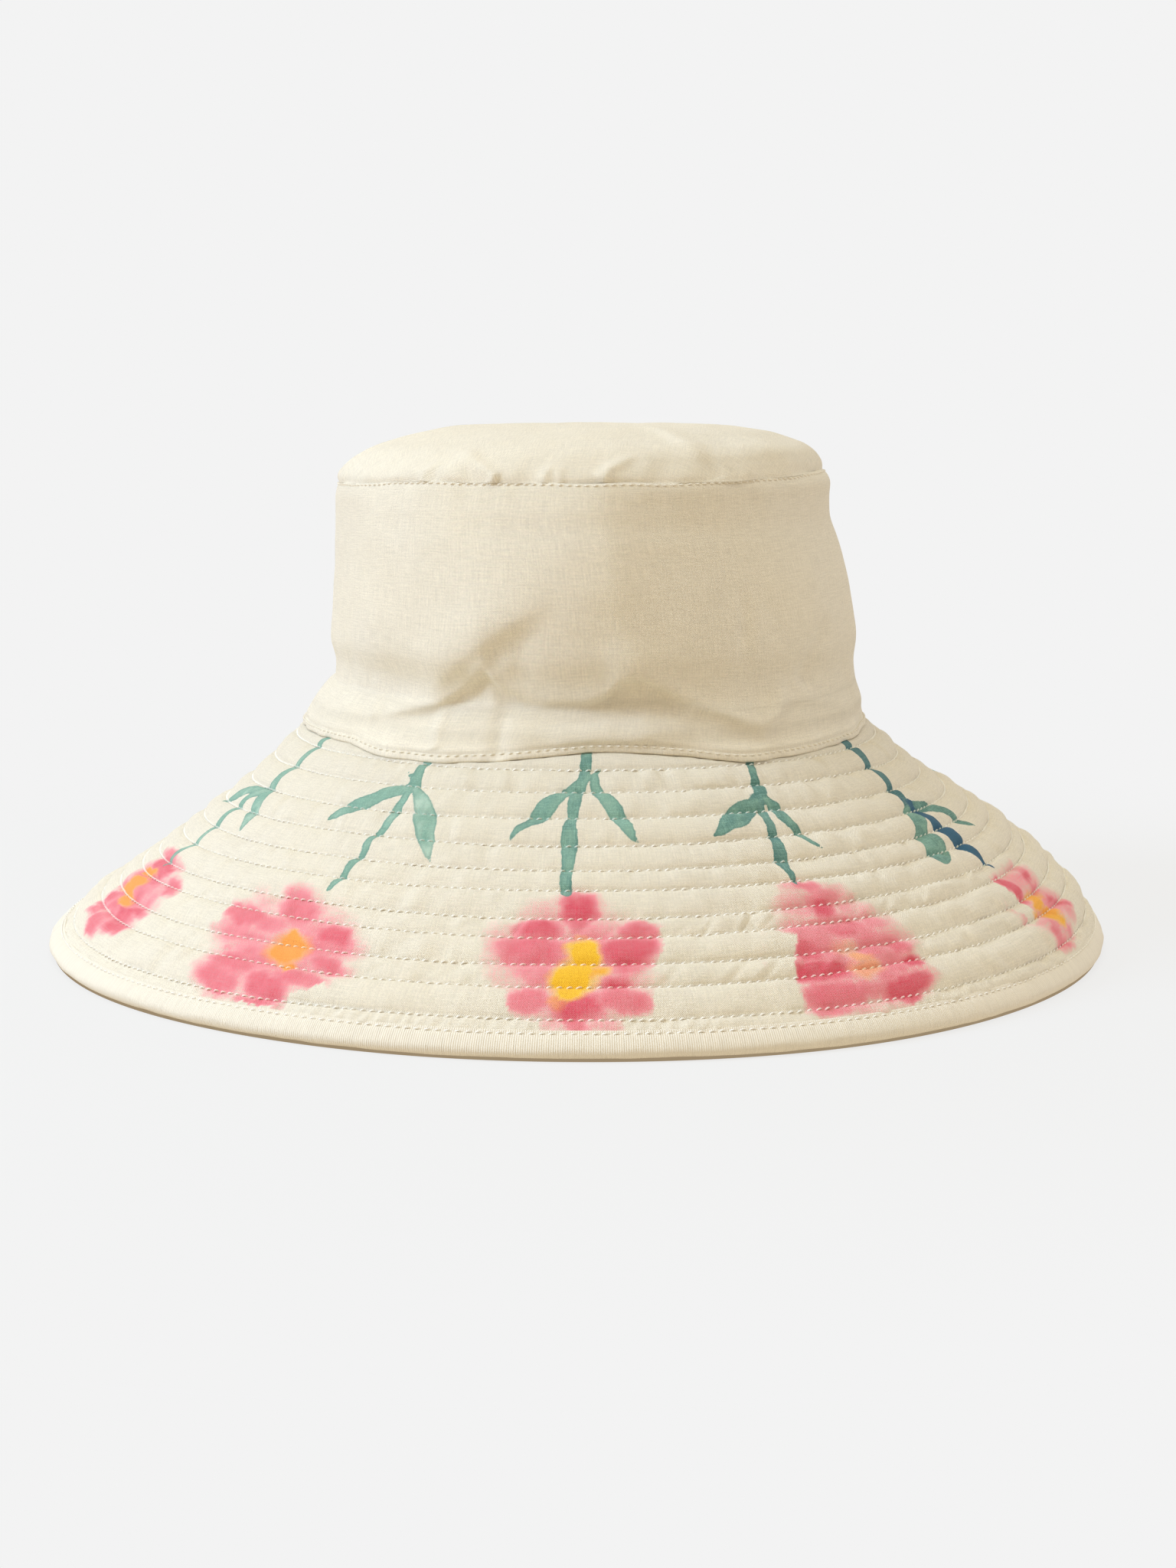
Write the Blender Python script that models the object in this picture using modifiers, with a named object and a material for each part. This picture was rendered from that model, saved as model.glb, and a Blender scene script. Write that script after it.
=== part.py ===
"""Quilted-brim bucket sun hat: soft cotton crown, stitched and padded sloping brim.

Frame: metres, +Z up, origin at the centre of the hat's footprint on the
surface it rests on.  The wearer looks along -Y, so the front of the hat is -Y
and the care label hangs inside at +Y.

Every layer of the hat is its own closed solid.  Layers that are sewn face to
face keep a small clearance (GAP) so that the solids never touch.

Profiles are lists of (r, z), where r is the half width along X.  They are
turned about +Z and then stretched along Y by OVAL.
"""

import math

import bmesh
import bpy
from mathutils import Matrix, Vector

MM = 0.001

# ---------------------------------------------------------------- dimensions
SEGMENTS = 40            # facets around one full ring
OVAL = 1.04              # head oval: front-to-back over side-to-side
GAP = 0.30 * MM          # clearance between neighbouring layers
SHARP_ANGLE = 35.0       # degrees; steeper edges are shaded sharp
SEAM_HALF_ANGLE = 0.12   # degrees left free each side of a side seam

# crown, outer surface
CROWN_BASE_R = 93.0 * MM     # folded lower edge of the crown
CROWN_BASE_Z = 70.0 * MM
CROWN_WALL_R = 86.7 * MM     # wall just above the flare onto the brim
CROWN_WALL_Z = 90.0 * MM
TIP_SEAM_R = 81.2 * MM       # where the wall meets the round tip panel
TIP_SEAM_Z = 150.0 * MM
CROWN_TOP_Z = 168.2 * MM
WALL_LINEAR_SHARE = 0.55     # of the wall's taper; the rest is quadratic
FLARE_POWER = 1.9
TIP_POWER = 2.3              # superellipse exponent of the domed tip
WALL_STEPS = 4               # facets of the wall above the flare
FLARE_STEPS = 6              # facets of the flare down to the folded edge
TIP_STEPS = 6                # facets from the tip's centre to its seam

# brim, upper surface of the sandwich
BRIM_IN_R = 90.0 * MM        # inner end, hidden under the crown's folded edge
BRIM_BASE_R = CROWN_BASE_R
BRIM_BASE_Z = 68.8 * MM
BRIM_EDGE_R = 175.4 * MM     # raw edge, inside the binding
BRIM_EDGE_Z = 3.3 * MM
BRIM_BOW = 1.6 * MM          # outward bow of the slope at mid width
BRIM_STEPS = 5

# layer thicknesses
SHELL_T = 0.60 * MM          # crown cloth
LINING_T = 0.40 * MM
SWEATBAND_T = 0.80 * MM
BRIM_TOP_T = 0.45 * MM
WADDING_T = 1.00 * MM
INTERLINING_T = 0.30 * MM
BRIM_UNDER_T = 0.45 * MM
BINDING_T = 0.45 * MM

# depth of each layer's outer face below the crown's outer surface
LINING_DEPTH = SHELL_T + GAP
SWEATBAND_DEPTH = LINING_DEPTH + LINING_T + GAP
BAND_FACE_DEPTH = SWEATBAND_DEPTH + SWEATBAND_T    # inner face of the sweatband

# depth of each layer's upper face below the brim's upper surface
WADDING_DEPTH = BRIM_TOP_T + GAP
INTERLINING_DEPTH = WADDING_DEPTH + WADDING_T + GAP
BRIM_UNDER_DEPTH = INTERLINING_DEPTH + INTERLINING_T + GAP
BRIM_T = BRIM_UNDER_DEPTH + BRIM_UNDER_T           # the whole sandwich

# binding
BINDING_LEG = 4.6 * MM       # how far the binding reaches over the brim
BINDING_TOP_END = 0.2 * MM   # flat top leg ends this far beyond the raw edge
BINDING_NOSE_LIFT = 0.1 * MM # height of the outermost corner above the slope line
BINDING_HEEL = 2.2 * MM      # where the lower leg meets the foot, back from the edge
FOOT_WIDTH = 2.0 * MM        # flat annulus the hat stands on
FOOT_SHIFT = 0.2 * MM        # foot's centre line, outward of the inner lower corner

# stitching
THREAD_R = 0.22 * MM
THREAD_SIDES = 3
THREAD_LIFT = GAP + THREAD_R # thread centre above the cloth it lies on
QUILT_ROWS = 11
QUILT_FIRST = 5.0 * MM       # along the slope from the crown's folded edge
QUILT_PITCH = 9.28 * MM
BINDING_STITCH = 3.3 * MM    # back from the raw edge
CROWN_STITCH = 2.2 * MM      # above the crown's folded edge
TIP_STITCH = 1.6 * MM        # below the tip seam
SWEATBAND_STITCH = 3.0 * MM  # above the sweatband's lower edge

# care label
LABEL_W = 26.0 * MM
LABEL_H = 25.0 * MM
LABEL_T = 0.40 * MM
LABEL_HINGE_Z = 99.0 * MM
LABEL_DROP = 0.2 * MM        # top edge below the hinge
LABEL_CORNER_R = 2.0 * MM
LABEL_CORNER_STEPS = 3
LABEL_BAR_RISE = 0.9 * MM    # stitch bar above the hinge
LABEL_BAR_INSET = 2.0 * MM   # bar ends, in from each side of the label
LABEL_BAR_SIDES = 6


# ------------------------------------------------------------------ profiles
def crown_r(z):
    """Outer radius of the crown wall at height z."""
    if z >= CROWN_WALL_Z:
        t = (z - CROWN_WALL_Z) / (TIP_SEAM_Z - CROWN_WALL_Z)
        taper = WALL_LINEAR_SHARE * t + (1.0 - WALL_LINEAR_SHARE) * t * t
        return CROWN_WALL_R + (TIP_SEAM_R - CROWN_WALL_R) * taper
    t = (CROWN_WALL_Z - z) / (CROWN_WALL_Z - CROWN_BASE_Z)
    return CROWN_WALL_R + (CROWN_BASE_R - CROWN_WALL_R) * t ** FLARE_POWER


def wall_heights():
    """Heights, top to bottom, at which the crown wall is sampled."""
    top = TIP_SEAM_Z - GAP
    heights = [top + (CROWN_WALL_Z - top) * i / WALL_STEPS for i in range(WALL_STEPS)]
    heights += [CROWN_WALL_Z + (CROWN_BASE_Z - CROWN_WALL_Z) * i / FLARE_STEPS
                for i in range(FLARE_STEPS + 1)]
    return heights


def wall_profile():
    return [(crown_r(z), z) for z in wall_heights()]


def tip_profile():
    """Domed tip from its centre to the seam."""
    rise = CROWN_TOP_Z - TIP_SEAM_Z
    points = []
    for i in range(TIP_STEPS):
        angle = 0.5 * math.pi * i / TIP_STEPS
        points.append((TIP_SEAM_R * math.sin(angle) ** (2.0 / TIP_POWER),
                       TIP_SEAM_Z + rise * math.cos(angle) ** (2.0 / TIP_POWER)))
    points.append((TIP_SEAM_R, TIP_SEAM_Z + GAP))
    return points


def brim_z(r):
    """Height of the brim's upper surface at radius r."""
    t = (r - BRIM_BASE_R) / (BRIM_EDGE_R - BRIM_BASE_R)
    bow = BRIM_BOW * math.sin(math.pi * max(0.0, min(1.0, t)))
    return BRIM_BASE_Z + (BRIM_EDGE_Z - BRIM_BASE_Z) * t + bow


def brim_profile():
    radii = [BRIM_IN_R + (BRIM_EDGE_R - BRIM_IN_R) * i / BRIM_STEPS
             for i in range(BRIM_STEPS + 1)]
    return [(r, brim_z(r)) for r in radii]


def offset(profile, distance):
    """Move a polyline (r, z), running outward and down, along its outer normal."""
    moved = []
    last = len(profile) - 1
    for i, (r, z) in enumerate(profile):
        r0, z0 = profile[max(i - 1, 0)]
        r1, z1 = profile[min(i + 1, last)]
        dr, dz = r1 - r0, z1 - z0
        length = math.hypot(dr, dz)
        moved.append((r - distance * dz / length, z + distance * dr / length))
    return moved


# Each of these returns a point (r, z) placed relative to a surface.
def beside_wall(height, lift):
    """Point lifted outward from the crown wall at a height."""
    probe = 0.5 * MM
    slope = (crown_r(height + probe) - crown_r(height - probe)) / (2.0 * probe)
    length = math.hypot(1.0, slope)
    return crown_r(height) + lift / length, height - lift * slope / length


def along_brim(distance, lift):
    """Point above the brim, at a distance down the slope from the crown's edge."""
    r, walked = BRIM_BASE_R, 0.0
    step = 0.05 * MM
    while walked < distance:
        slope = (brim_z(r + step) - brim_z(r)) / step
        walked += step * math.hypot(1.0, slope)
        r += step
    slope = (brim_z(r + step) - brim_z(r - step)) / (2.0 * step)
    length = math.hypot(1.0, slope)
    return r - lift * slope / length, brim_z(r) + lift / length


def from_raw_edge(along, lift):
    """Point measured from the brim's raw edge: on down the slope, and above it."""
    (r0, z0), (r1, z1) = brim_profile()[-2:]
    length = math.hypot(r1 - r0, z1 - z0)
    down_r, down_z = (r1 - r0) / length, (z1 - z0) / length
    return r1 + along * down_r - lift * down_z, z1 + along * down_z + lift * down_r


# ----------------------------------------------------------------- materials
def material(name, colour, roughness, sheen=0.0):
    mat = bpy.data.materials.new(name)
    mat.use_nodes = True
    inputs = mat.node_tree.nodes["Principled BSDF"].inputs
    inputs["Base Color"].default_value = (*colour, 1.0)
    inputs["Roughness"].default_value = roughness
    inputs["Metallic"].default_value = 0.0
    inputs["Sheen Weight"].default_value = sheen
    mat.diffuse_color = (*colour, 1.0)
    return mat


def make_materials():
    specs = {
        "crown_cotton": dict(colour=(0.86, 0.80, 0.68), roughness=0.88, sheen=0.2),
        "brim_cotton": dict(colour=(0.85, 0.79, 0.68), roughness=0.86, sheen=0.2),
        "lining_cotton": dict(colour=(0.84, 0.80, 0.72), roughness=0.85, sheen=0.1),
        "sweatband_twill": dict(colour=(0.88, 0.84, 0.76), roughness=0.80, sheen=0.1),
        "wadding": dict(colour=(0.92, 0.91, 0.88), roughness=0.95, sheen=0.3),
        "interlining": dict(colour=(0.90, 0.89, 0.85), roughness=0.85),
        "binding_cotton": dict(colour=(0.87, 0.82, 0.71), roughness=0.84, sheen=0.2),
        "thread": dict(colour=(0.93, 0.91, 0.86), roughness=0.55),
        "label_satin": dict(colour=(0.94, 0.94, 0.92), roughness=0.40),
    }
    return {name: material(name, **spec) for name, spec in specs.items()}


# ------------------------------------------------------------- shape helpers
def add_object(name, bm, mat, hat):
    """Turn a bmesh into an object in the hat's collection."""
    mesh = bpy.data.meshes.new(name)
    bm.to_mesh(mesh)
    bm.free()
    obj = bpy.data.objects.new(name, mesh)
    hat.objects.link(obj)
    mesh.materials.append(mat)
    mesh.shade_smooth()
    mesh.set_sharp_from_angle(angle=math.radians(SHARP_ANGLE))
    return obj


def adopt_active(name, mat, hat):
    """Name the primitive just added and move it to the hat's collection."""
    obj = bpy.context.active_object
    obj.name = name
    obj.data.name = name
    for other in list(obj.users_collection):
        other.objects.unlink(obj)
    hat.objects.link(obj)
    obj.data.materials.append(mat)
    return obj


def turned(profile, start=0.0, end=360.0, closed_section=False):
    """Turn a profile about +Z from start to end degrees, then make it oval."""
    sweep = end - start
    turn = Matrix.Rotation(math.radians(start), 4, "Z")
    bm = bmesh.new()
    verts = [bm.verts.new(turn @ Vector((r, 0.0, z))) for r, z in profile]
    pairs = list(zip(verts, verts[1:]))
    if closed_section:
        pairs.append((verts[-1], verts[0]))
    edges = [bm.edges.new(pair) for pair in pairs]
    bmesh.ops.spin(bm, geom=verts + edges, cent=(0, 0, 0), axis=(0, 0, 1),
                   dvec=(0, 0, 0), angle=math.radians(sweep),
                   steps=round(SEGMENTS * sweep / 360.0),
                   use_merge=sweep >= 359.999, use_duplicate=False)
    bmesh.ops.remove_doubles(bm, verts=bm.verts, dist=1e-6)
    bmesh.ops.scale(bm, vec=(1.0, OVAL, 1.0), verts=bm.verts)
    bmesh.ops.recalc_face_normals(bm, faces=bm.faces)
    return bm


def face_outward(bm):
    """Flip an open surface if, by area, it faces inward and down."""
    facing = 0.0
    for face in bm.faces:
        centre = face.calc_center_median()
        radial = Vector((centre.x, centre.y, 0.0))
        if radial.length > 0.0:
            radial.normalize()
        facing += face.normal.dot(radial + Vector((0.0, 0.0, 1.0))) * face.calc_area()
    if facing < 0.0:
        bmesh.ops.reverse_faces(bm, faces=bm.faces)


def sheet(name, profile, thickness, mat, hat, start=0.0, end=360.0):
    """A cloth layer: an open turned surface, thickened towards the inside."""
    bm = turned(profile, start, end)
    face_outward(bm)
    obj = add_object(name, bm, mat, hat)
    solid = obj.modifiers.new("cloth_thickness", "SOLIDIFY")
    solid.thickness = thickness
    solid.offset = -1.0
    solid.use_even_offset = True
    solid.use_rim = True


def half_sheets(name, profile, thickness, mat, hat):
    """Front and back panels of a layer, parted at the side seams on +X and -X."""
    for side, seam in (("front", 180.0), ("back", 0.0)):
        sheet(name + "_" + side, profile, thickness, mat, hat,
              start=seam + SEAM_HALF_ANGLE, end=seam + 180.0 - SEAM_HALF_ANGLE)


def thread_ring(name, centre, mat, hat):
    """An oval ring of thread whose centre line passes through (r, z)."""
    r, z = centre
    bpy.ops.mesh.primitive_torus_add(
        major_radius=r, minor_radius=THREAD_R,
        major_segments=SEGMENTS, minor_segments=THREAD_SIDES, location=(0.0, 0.0, z))
    obj = adopt_active(name, mat, hat)
    obj.data.transform(Matrix.Diagonal((1.0, OVAL, 1.0, 1.0)))
    obj.data.shade_smooth()


# -------------------------------------------------------------------- pieces
def build_crown(mats, hat):
    sheet("crown_tip", tip_profile(), SHELL_T, mats["crown_cotton"], hat)
    half_sheets("crown_side", wall_profile(), SHELL_T, mats["crown_cotton"], hat)


def build_lining(mats, hat):
    tip = [(0.0, CROWN_TOP_Z - LINING_DEPTH)]
    tip += offset(tip_profile(), -LINING_DEPTH)[1:-1]
    tip.append((TIP_SEAM_R - LINING_DEPTH, TIP_SEAM_Z + GAP))
    sheet("lining_tip", tip, LINING_T, mats["lining_cotton"], hat)
    wall = offset(wall_profile(), -LINING_DEPTH)[:-1]
    half_sheets("lining_side", wall, LINING_T, mats["lining_cotton"], hat)


def build_sweatband(mats, hat):
    """Band inside the lining, from one wall step above the flare downward."""
    band = offset(wall_profile(), -SWEATBAND_DEPTH)[WALL_STEPS - 1:-1]
    sheet("sweatband", band, SWEATBAND_T, mats["sweatband_twill"], hat)


def build_brim(mats, hat):
    """The brim sandwich, from the top layer down."""
    slope = brim_profile()
    half_sheets("brim_top", slope, BRIM_TOP_T, mats["brim_cotton"], hat)
    sheet("brim_wadding", offset(slope, -WADDING_DEPTH), WADDING_T,
          mats["wadding"], hat)
    sheet("brim_interlining", offset(slope, -INTERLINING_DEPTH), INTERLINING_T,
          mats["interlining"], hat)
    half_sheets("brim_under", offset(slope, -BRIM_UNDER_DEPTH), BRIM_UNDER_T,
                mats["brim_cotton"], hat)


def build_binding(mats, hat):
    """A U of bias tape folded over the raw edge, with a flat foot."""
    upper_in, upper_out = GAP, GAP + BINDING_T
    lower_in, lower_out = -(BRIM_T + GAP), -(BRIM_T + GAP + BINDING_T)
    lower_corner = from_raw_edge(GAP, lower_in)
    foot_r = lower_corner[0] + FOOT_SHIFT
    section = [
        from_raw_edge(-BINDING_LEG, upper_out),
        from_raw_edge(BINDING_TOP_END, upper_out),
        from_raw_edge(GAP + BINDING_T, BINDING_NOSE_LIFT),
        (foot_r + 0.5 * FOOT_WIDTH, 0.0),
        (foot_r - 0.5 * FOOT_WIDTH, 0.0),
        from_raw_edge(-BINDING_HEEL, lower_out),
        from_raw_edge(-BINDING_LEG, lower_out),
        from_raw_edge(-BINDING_LEG, lower_in),
        lower_corner,
        from_raw_edge(GAP, upper_in),
        from_raw_edge(-BINDING_LEG, upper_in),
    ]
    add_object("brim_binding", turned(section, closed_section=True),
               mats["binding_cotton"], hat)


def build_stitching(mats, hat):
    rings = [("quilting_thread_%02d" % (row + 1),
              along_brim(QUILT_FIRST + row * QUILT_PITCH, THREAD_LIFT))
             for row in range(QUILT_ROWS)]
    sweatband_base_z = wall_heights()[-2]
    rings += [
        ("binding_thread",
         from_raw_edge(-BINDING_STITCH, GAP + BINDING_T + THREAD_LIFT)),
        ("crown_seam_thread", beside_wall(CROWN_BASE_Z + CROWN_STITCH, THREAD_LIFT)),
        ("tip_seam_thread", beside_wall(TIP_SEAM_Z - TIP_STITCH, THREAD_LIFT)),
        ("sweatband_thread", beside_wall(sweatband_base_z + SWEATBAND_STITCH,
                                         -(BAND_FACE_DEPTH + THREAD_LIFT))),
    ]
    for name, centre in rings:
        thread_ring(name, centre, mats["thread"], hat)


def build_label(mats, hat):
    """Blank care label, hanging inside at the back from its sewn top edge."""
    # The flat label clears the curved sweatband at its two sides.
    face_r = crown_r(LABEL_HINGE_Z) - BAND_FACE_DEPTH
    side_y = face_r * OVAL * math.sqrt(1.0 - (0.5 * LABEL_W / face_r) ** 2)
    label_y = side_y - GAP - LABEL_T

    hinge = bpy.data.objects.new("label_hinge", None)
    hinge.empty_display_size = 0.01
    hinge.location = (0.0, label_y, LABEL_HINGE_Z)
    hat.objects.link(hinge)

    bm = bmesh.new()
    bmesh.ops.create_cube(bm, size=1.0)
    bmesh.ops.scale(bm, vec=(LABEL_W, LABEL_T, LABEL_H), verts=bm.verts)
    bmesh.ops.translate(bm, vec=(0.0, 0.0, -0.5 * LABEL_H - LABEL_DROP), verts=bm.verts)
    lower_corners = [edge for edge in bm.edges
                     if abs(edge.verts[0].co.y - edge.verts[1].co.y) > 0.5 * LABEL_T
                     and edge.verts[0].co.z < -0.5 * LABEL_H]
    bmesh.ops.bevel(bm, geom=lower_corners, offset=LABEL_CORNER_R,
                    segments=LABEL_CORNER_STEPS, profile=0.5, affect="EDGES")
    label = add_object("care_label", bm, mats["label_satin"], hat)
    label.parent = hinge

    bpy.ops.mesh.primitive_cylinder_add(
        vertices=LABEL_BAR_SIDES, radius=THREAD_R,
        depth=LABEL_W - 2.0 * LABEL_BAR_INSET, end_fill_type="NGON",
        location=(0.0, label_y, LABEL_HINGE_Z + LABEL_BAR_RISE),
        rotation=(0.0, math.radians(90.0), 0.0))
    adopt_active("label_thread", mats["thread"], hat)


def build():
    for obj in list(bpy.data.objects):
        bpy.data.objects.remove(obj, do_unlink=True)
    hat = bpy.data.collections.new("bucket_sun_hat")
    bpy.context.scene.collection.children.link(hat)
    mats = make_materials()
    for build_part in (build_crown, build_lining, build_sweatband, build_brim,
                       build_binding, build_stitching, build_label):
        build_part(mats, hat)


build()
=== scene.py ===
"""Looks of a quilted, painted sun hat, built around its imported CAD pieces.

The hat rests brim down near z = 0, its crown upwards along +Z and its front towards -Y.
Left is -X and right is +X. Lengths are millimetres until a mesh is made; the floor,
lights and camera are in metres.
  angle  radians round the hat, 0 at the front and growing towards +X
  down   distance down the brim's slope from the crown
  lift   offset outwards from the cloth's middle line
"""
import math

import bpy
import numpy as np
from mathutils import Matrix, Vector


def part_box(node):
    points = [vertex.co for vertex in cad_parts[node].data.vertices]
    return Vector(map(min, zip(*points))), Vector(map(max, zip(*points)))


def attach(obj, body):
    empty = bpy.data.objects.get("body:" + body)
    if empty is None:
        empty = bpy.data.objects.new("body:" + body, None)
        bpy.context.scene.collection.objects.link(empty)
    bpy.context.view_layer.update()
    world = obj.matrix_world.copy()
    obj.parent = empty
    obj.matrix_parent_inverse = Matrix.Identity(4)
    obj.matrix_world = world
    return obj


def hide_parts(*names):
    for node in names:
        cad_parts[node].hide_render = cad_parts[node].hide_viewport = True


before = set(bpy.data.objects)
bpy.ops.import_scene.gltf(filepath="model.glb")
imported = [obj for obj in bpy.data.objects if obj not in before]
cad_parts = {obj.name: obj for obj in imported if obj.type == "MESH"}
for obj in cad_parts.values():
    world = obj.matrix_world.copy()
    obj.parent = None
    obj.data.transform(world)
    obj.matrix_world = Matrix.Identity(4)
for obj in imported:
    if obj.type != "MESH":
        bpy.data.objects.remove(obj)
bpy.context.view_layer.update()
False

PI = math.pi
TURN = 2 * PI

# ---------------------------------------------------------------- curves and noise


def curve(x, xs, ys):
    """Monotone cubic curve through the points (xs, ys)."""
    xs, ys = np.asarray(xs, float), np.asarray(ys, float)
    gaps = np.diff(xs)
    slopes = np.diff(ys) / gaps
    product = slopes[:-1] * slopes[1:]
    total = slopes[:-1] + slopes[1:]
    tangents = np.zeros_like(ys)
    tangents[1:-1] = np.where(product > 0, 2 * product / np.where(total == 0, 1, total), 0)
    tangents[0], tangents[-1] = slopes[0], slopes[-1]
    x = np.clip(x, xs[0], xs[-1])
    i = np.clip(np.searchsorted(xs, x, side="right") - 1, 0, len(xs) - 2)
    t = (x - xs[i]) / gaps[i]
    return (
        (2 * t**3 - 3 * t**2 + 1) * ys[i]
        + (t**3 - 2 * t**2 + t) * gaps[i] * tangents[i]
        + (-2 * t**3 + 3 * t**2) * ys[i + 1]
        + (t**3 - t**2) * gaps[i] * tangents[i + 1]
    )


def travel(xs, ys):
    """Running length along a line of points."""
    return np.concatenate([[0], np.cumsum(np.hypot(np.diff(xs), np.diff(ys)))])


def resample(points, count):
    """Smooth line through points (x, y, ...), evenly spaced along x, y."""
    points = np.asarray(points, float)
    length = travel(points[:, 0], points[:, 1])
    t = np.linspace(0, length[-1], count)
    return np.stack([curve(t, length, column) for column in points.T], -1)


def wrap(degrees):
    return (degrees + 180.0) % 360.0 - 180.0


def bell(x, centre, width):
    return np.exp(-(((x - centre) / width) ** 2))


def hump(angle, centre, width):
    """Bell round the hat; centre and width in degrees."""
    return bell(wrap(np.degrees(angle) - centre), 0, width)


def decay(x, length):
    return np.exp(-np.maximum(x, 0) / length)


def ease(x, start, stop):
    t = np.clip((x - start) / (stop - start), 0, 1)
    return t * t * (3 - 2 * t)


def around(angle, table):
    """Smooth closed curve round the hat through (degrees, value) points."""
    degrees, values = zip(*sorted(table))
    thrice = [d + shift for shift in (-360, 0, 360) for d in degrees]
    return curve(wrap(np.degrees(angle)), thrice, values * 3)


def scatter(i, j, seed):
    """Repeatable random value in -1..1 for a grid point."""
    h = (i * 374761393 + j * 668265263 + (seed + 7) * 1442695041) & 0xFFFFFFFF
    h = ((h ^ (h >> 13)) * 1274126177) & 0xFFFFFFFF
    h = ((h ^ (h >> 15)) * 2246822519) & 0xFFFFFFFF
    return ((h ^ (h >> 16)) & 0xFFFF) / 32767.5 - 1.0


def noise(x, y, repeat, seed):
    """Smooth random surface about 0. x repeats after the given number of cells."""
    x, y = np.broadcast_arrays(np.asarray(x, float), np.asarray(y, float))
    column, row = np.floor(x), np.floor(y)
    ux, uy = (f**3 * (f * (f * 6 - 15) + 10) for f in (x - column, y - row))
    column, row = column.astype(np.int64), row.astype(np.int64)
    here, beside = np.mod(column, repeat), np.mod(column + 1, repeat)
    lower, upper = (
        scatter(here, j, seed) * (1 - ux) + scatter(beside, j, seed) * ux for j in (row, row + 1)
    )
    return (lower * (1 - uy) + upper * uy) * 1.35


def ring_noise(angle, cells, y, seed, shift=0.0):
    """Noise that closes on itself after so many cells round the hat."""
    return noise(np.asarray(angle) / TURN * cells + shift, y, cells, seed)


# ---------------------------------------------------------------- brim form

OVAL = 1.04  # stretch of every ring along Y
AXIS_X = 1.8
BRIM_IN_R, BRIM_IN_Z = 93.0, 68.8
BRIM_OUT_R, BRIM_OUT_Z = 175.4, 3.3
BRIM_SWELL = 1.6
BRIM_LENGTH = 105.3

SLOPE_R = np.linspace(78, 192, 4601)
slope_share = (SLOPE_R - BRIM_IN_R) / (BRIM_OUT_R - BRIM_IN_R)
SLOPE_Z = (BRIM_IN_Z + (BRIM_OUT_Z - BRIM_IN_Z) * slope_share
           + BRIM_SWELL * np.sin(PI * np.clip(slope_share, 0, 1)))
SLOPE_DOWN = travel(SLOPE_R, SLOPE_Z)
SLOPE_DOWN -= np.interp(BRIM_IN_R, SLOPE_R, SLOPE_DOWN)
SLOPE_NORMAL_R = -np.gradient(SLOPE_Z, SLOPE_DOWN)
SLOPE_NORMAL_Z = np.gradient(SLOPE_R, SLOPE_DOWN)

# down, bow of the left side, bow of the right side
SIDE_BOW = np.array([
    (0, 0, 0), (12, -2.4, -0.8), (26, -4.8, -1.1), (40, -4.4, 0.8), (54, -3.8, 2.7),
    (68, -2.2, 3.3), (82, -1.0, 4.2), (94, 0, 2.2), (BRIM_LENGTH, 0, 0),
])


def slope(down):
    """Radius, height and the normal's two parts on the brim's middle line."""
    columns = (SLOPE_R, SLOPE_Z, SLOPE_NORMAL_R, SLOPE_NORMAL_Z)
    return [np.interp(down, SLOPE_DOWN, column) for column in columns]


def brim(angle, down, lift=0.0):
    """Point on the brim."""
    radius, height, normal_r, normal_z = slope(down)
    left, right = hump(angle, -104, 30), hump(angle, 92, 38)
    bow_down, bow_left, bow_right = SIDE_BOW.T
    bow = left * curve(down, bow_down, bow_left) + right * curve(down, bow_down, bow_right)
    share = np.clip(down / BRIM_LENGTH, 0, 1.05)
    # the outline strays from a circle, and waves at the front and left of the rim
    spread = (4.14 - 1.59 * np.sin(angle) + 0.97 * np.cos(2 * angle) + 0.69 * np.sin(2 * angle)
              - 9.9 * left - 4.7 * right) * share
    front = hump(angle, 26, 17) - 1.1 * hump(angle, -28, 18) - 0.7 * hump(angle, -2, 16)
    spread = spread + front * np.clip((down - 55) / 50.0, 0, 1) ** 2
    spread = spread + 1.7 * hump(angle, -95, 26) * np.clip((down - 84) / 21.0, 0, 1) ** 2
    radius = radius + (bow + lift) * normal_r + spread
    height = height + (bow + lift) * normal_z
    x = radius * np.sin(angle) + AXIS_X - 1.1 * share
    return np.stack([x, -OVAL * radius * np.cos(angle), height + 0 * radius], -1)


# ---------------------------------------------------------------- crown form

# z, radius, shift along X
CROWN = np.array([
    (66, 95.5, 0), (69.8, 94.6, 0), (72.3, 93.1, 0), (77.3, 91.3, 1.15), (82.3, 88.4, 2.3),
    (84.8, 86.7, 3.3), (89.9, 86.2, 3.15), (97.6, 87.3, 2.65), (105.2, 86.6, 2.65),
    (115.3, 85.3, 2.25), (122.8, 84.1, 1.65), (130.4, 82.9, 0.55), (137.9, 81.6, -0.6),
    (142.9, 81.4, -0.75), (147.9, 81.1, -0.5), (150.4, 80.4, -0.6), (152.9, 78.7, -0.85),
    (155.3, 77.0, -0.2), (157.8, 74.5, 1.05), (160.3, 70.3, 1.9), (162.7, 62.5, 2.65),
    (165.2, 50.6, 5.0), (167.7, 26.0, 5.5), (168.3, 0, 5.5),
])
CROWN_Z, CROWN_R, CROWN_SHIFT = CROWN.T

# folded lower edge of the crown on the brim: degrees, down
EDGE = [
    (-90, 0.1), (-53, 0.0), (-39, 3.13), (-28.7, 3.44), (-20, 2.18), (-9.8, -0.35),
    (-0.9, -2.81), (1.1, -3.2), (12, -2.26), (19.7, -0.15), (27.3, 2.57), (31.4, 3.5),
    (41.6, 3.07), (63.4, 1.22), (82.9, -0.5), (110, 0.0), (140, 1.5), (180, -1.0),
    (-140, 1.5), (-110, 0.0),
]
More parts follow.
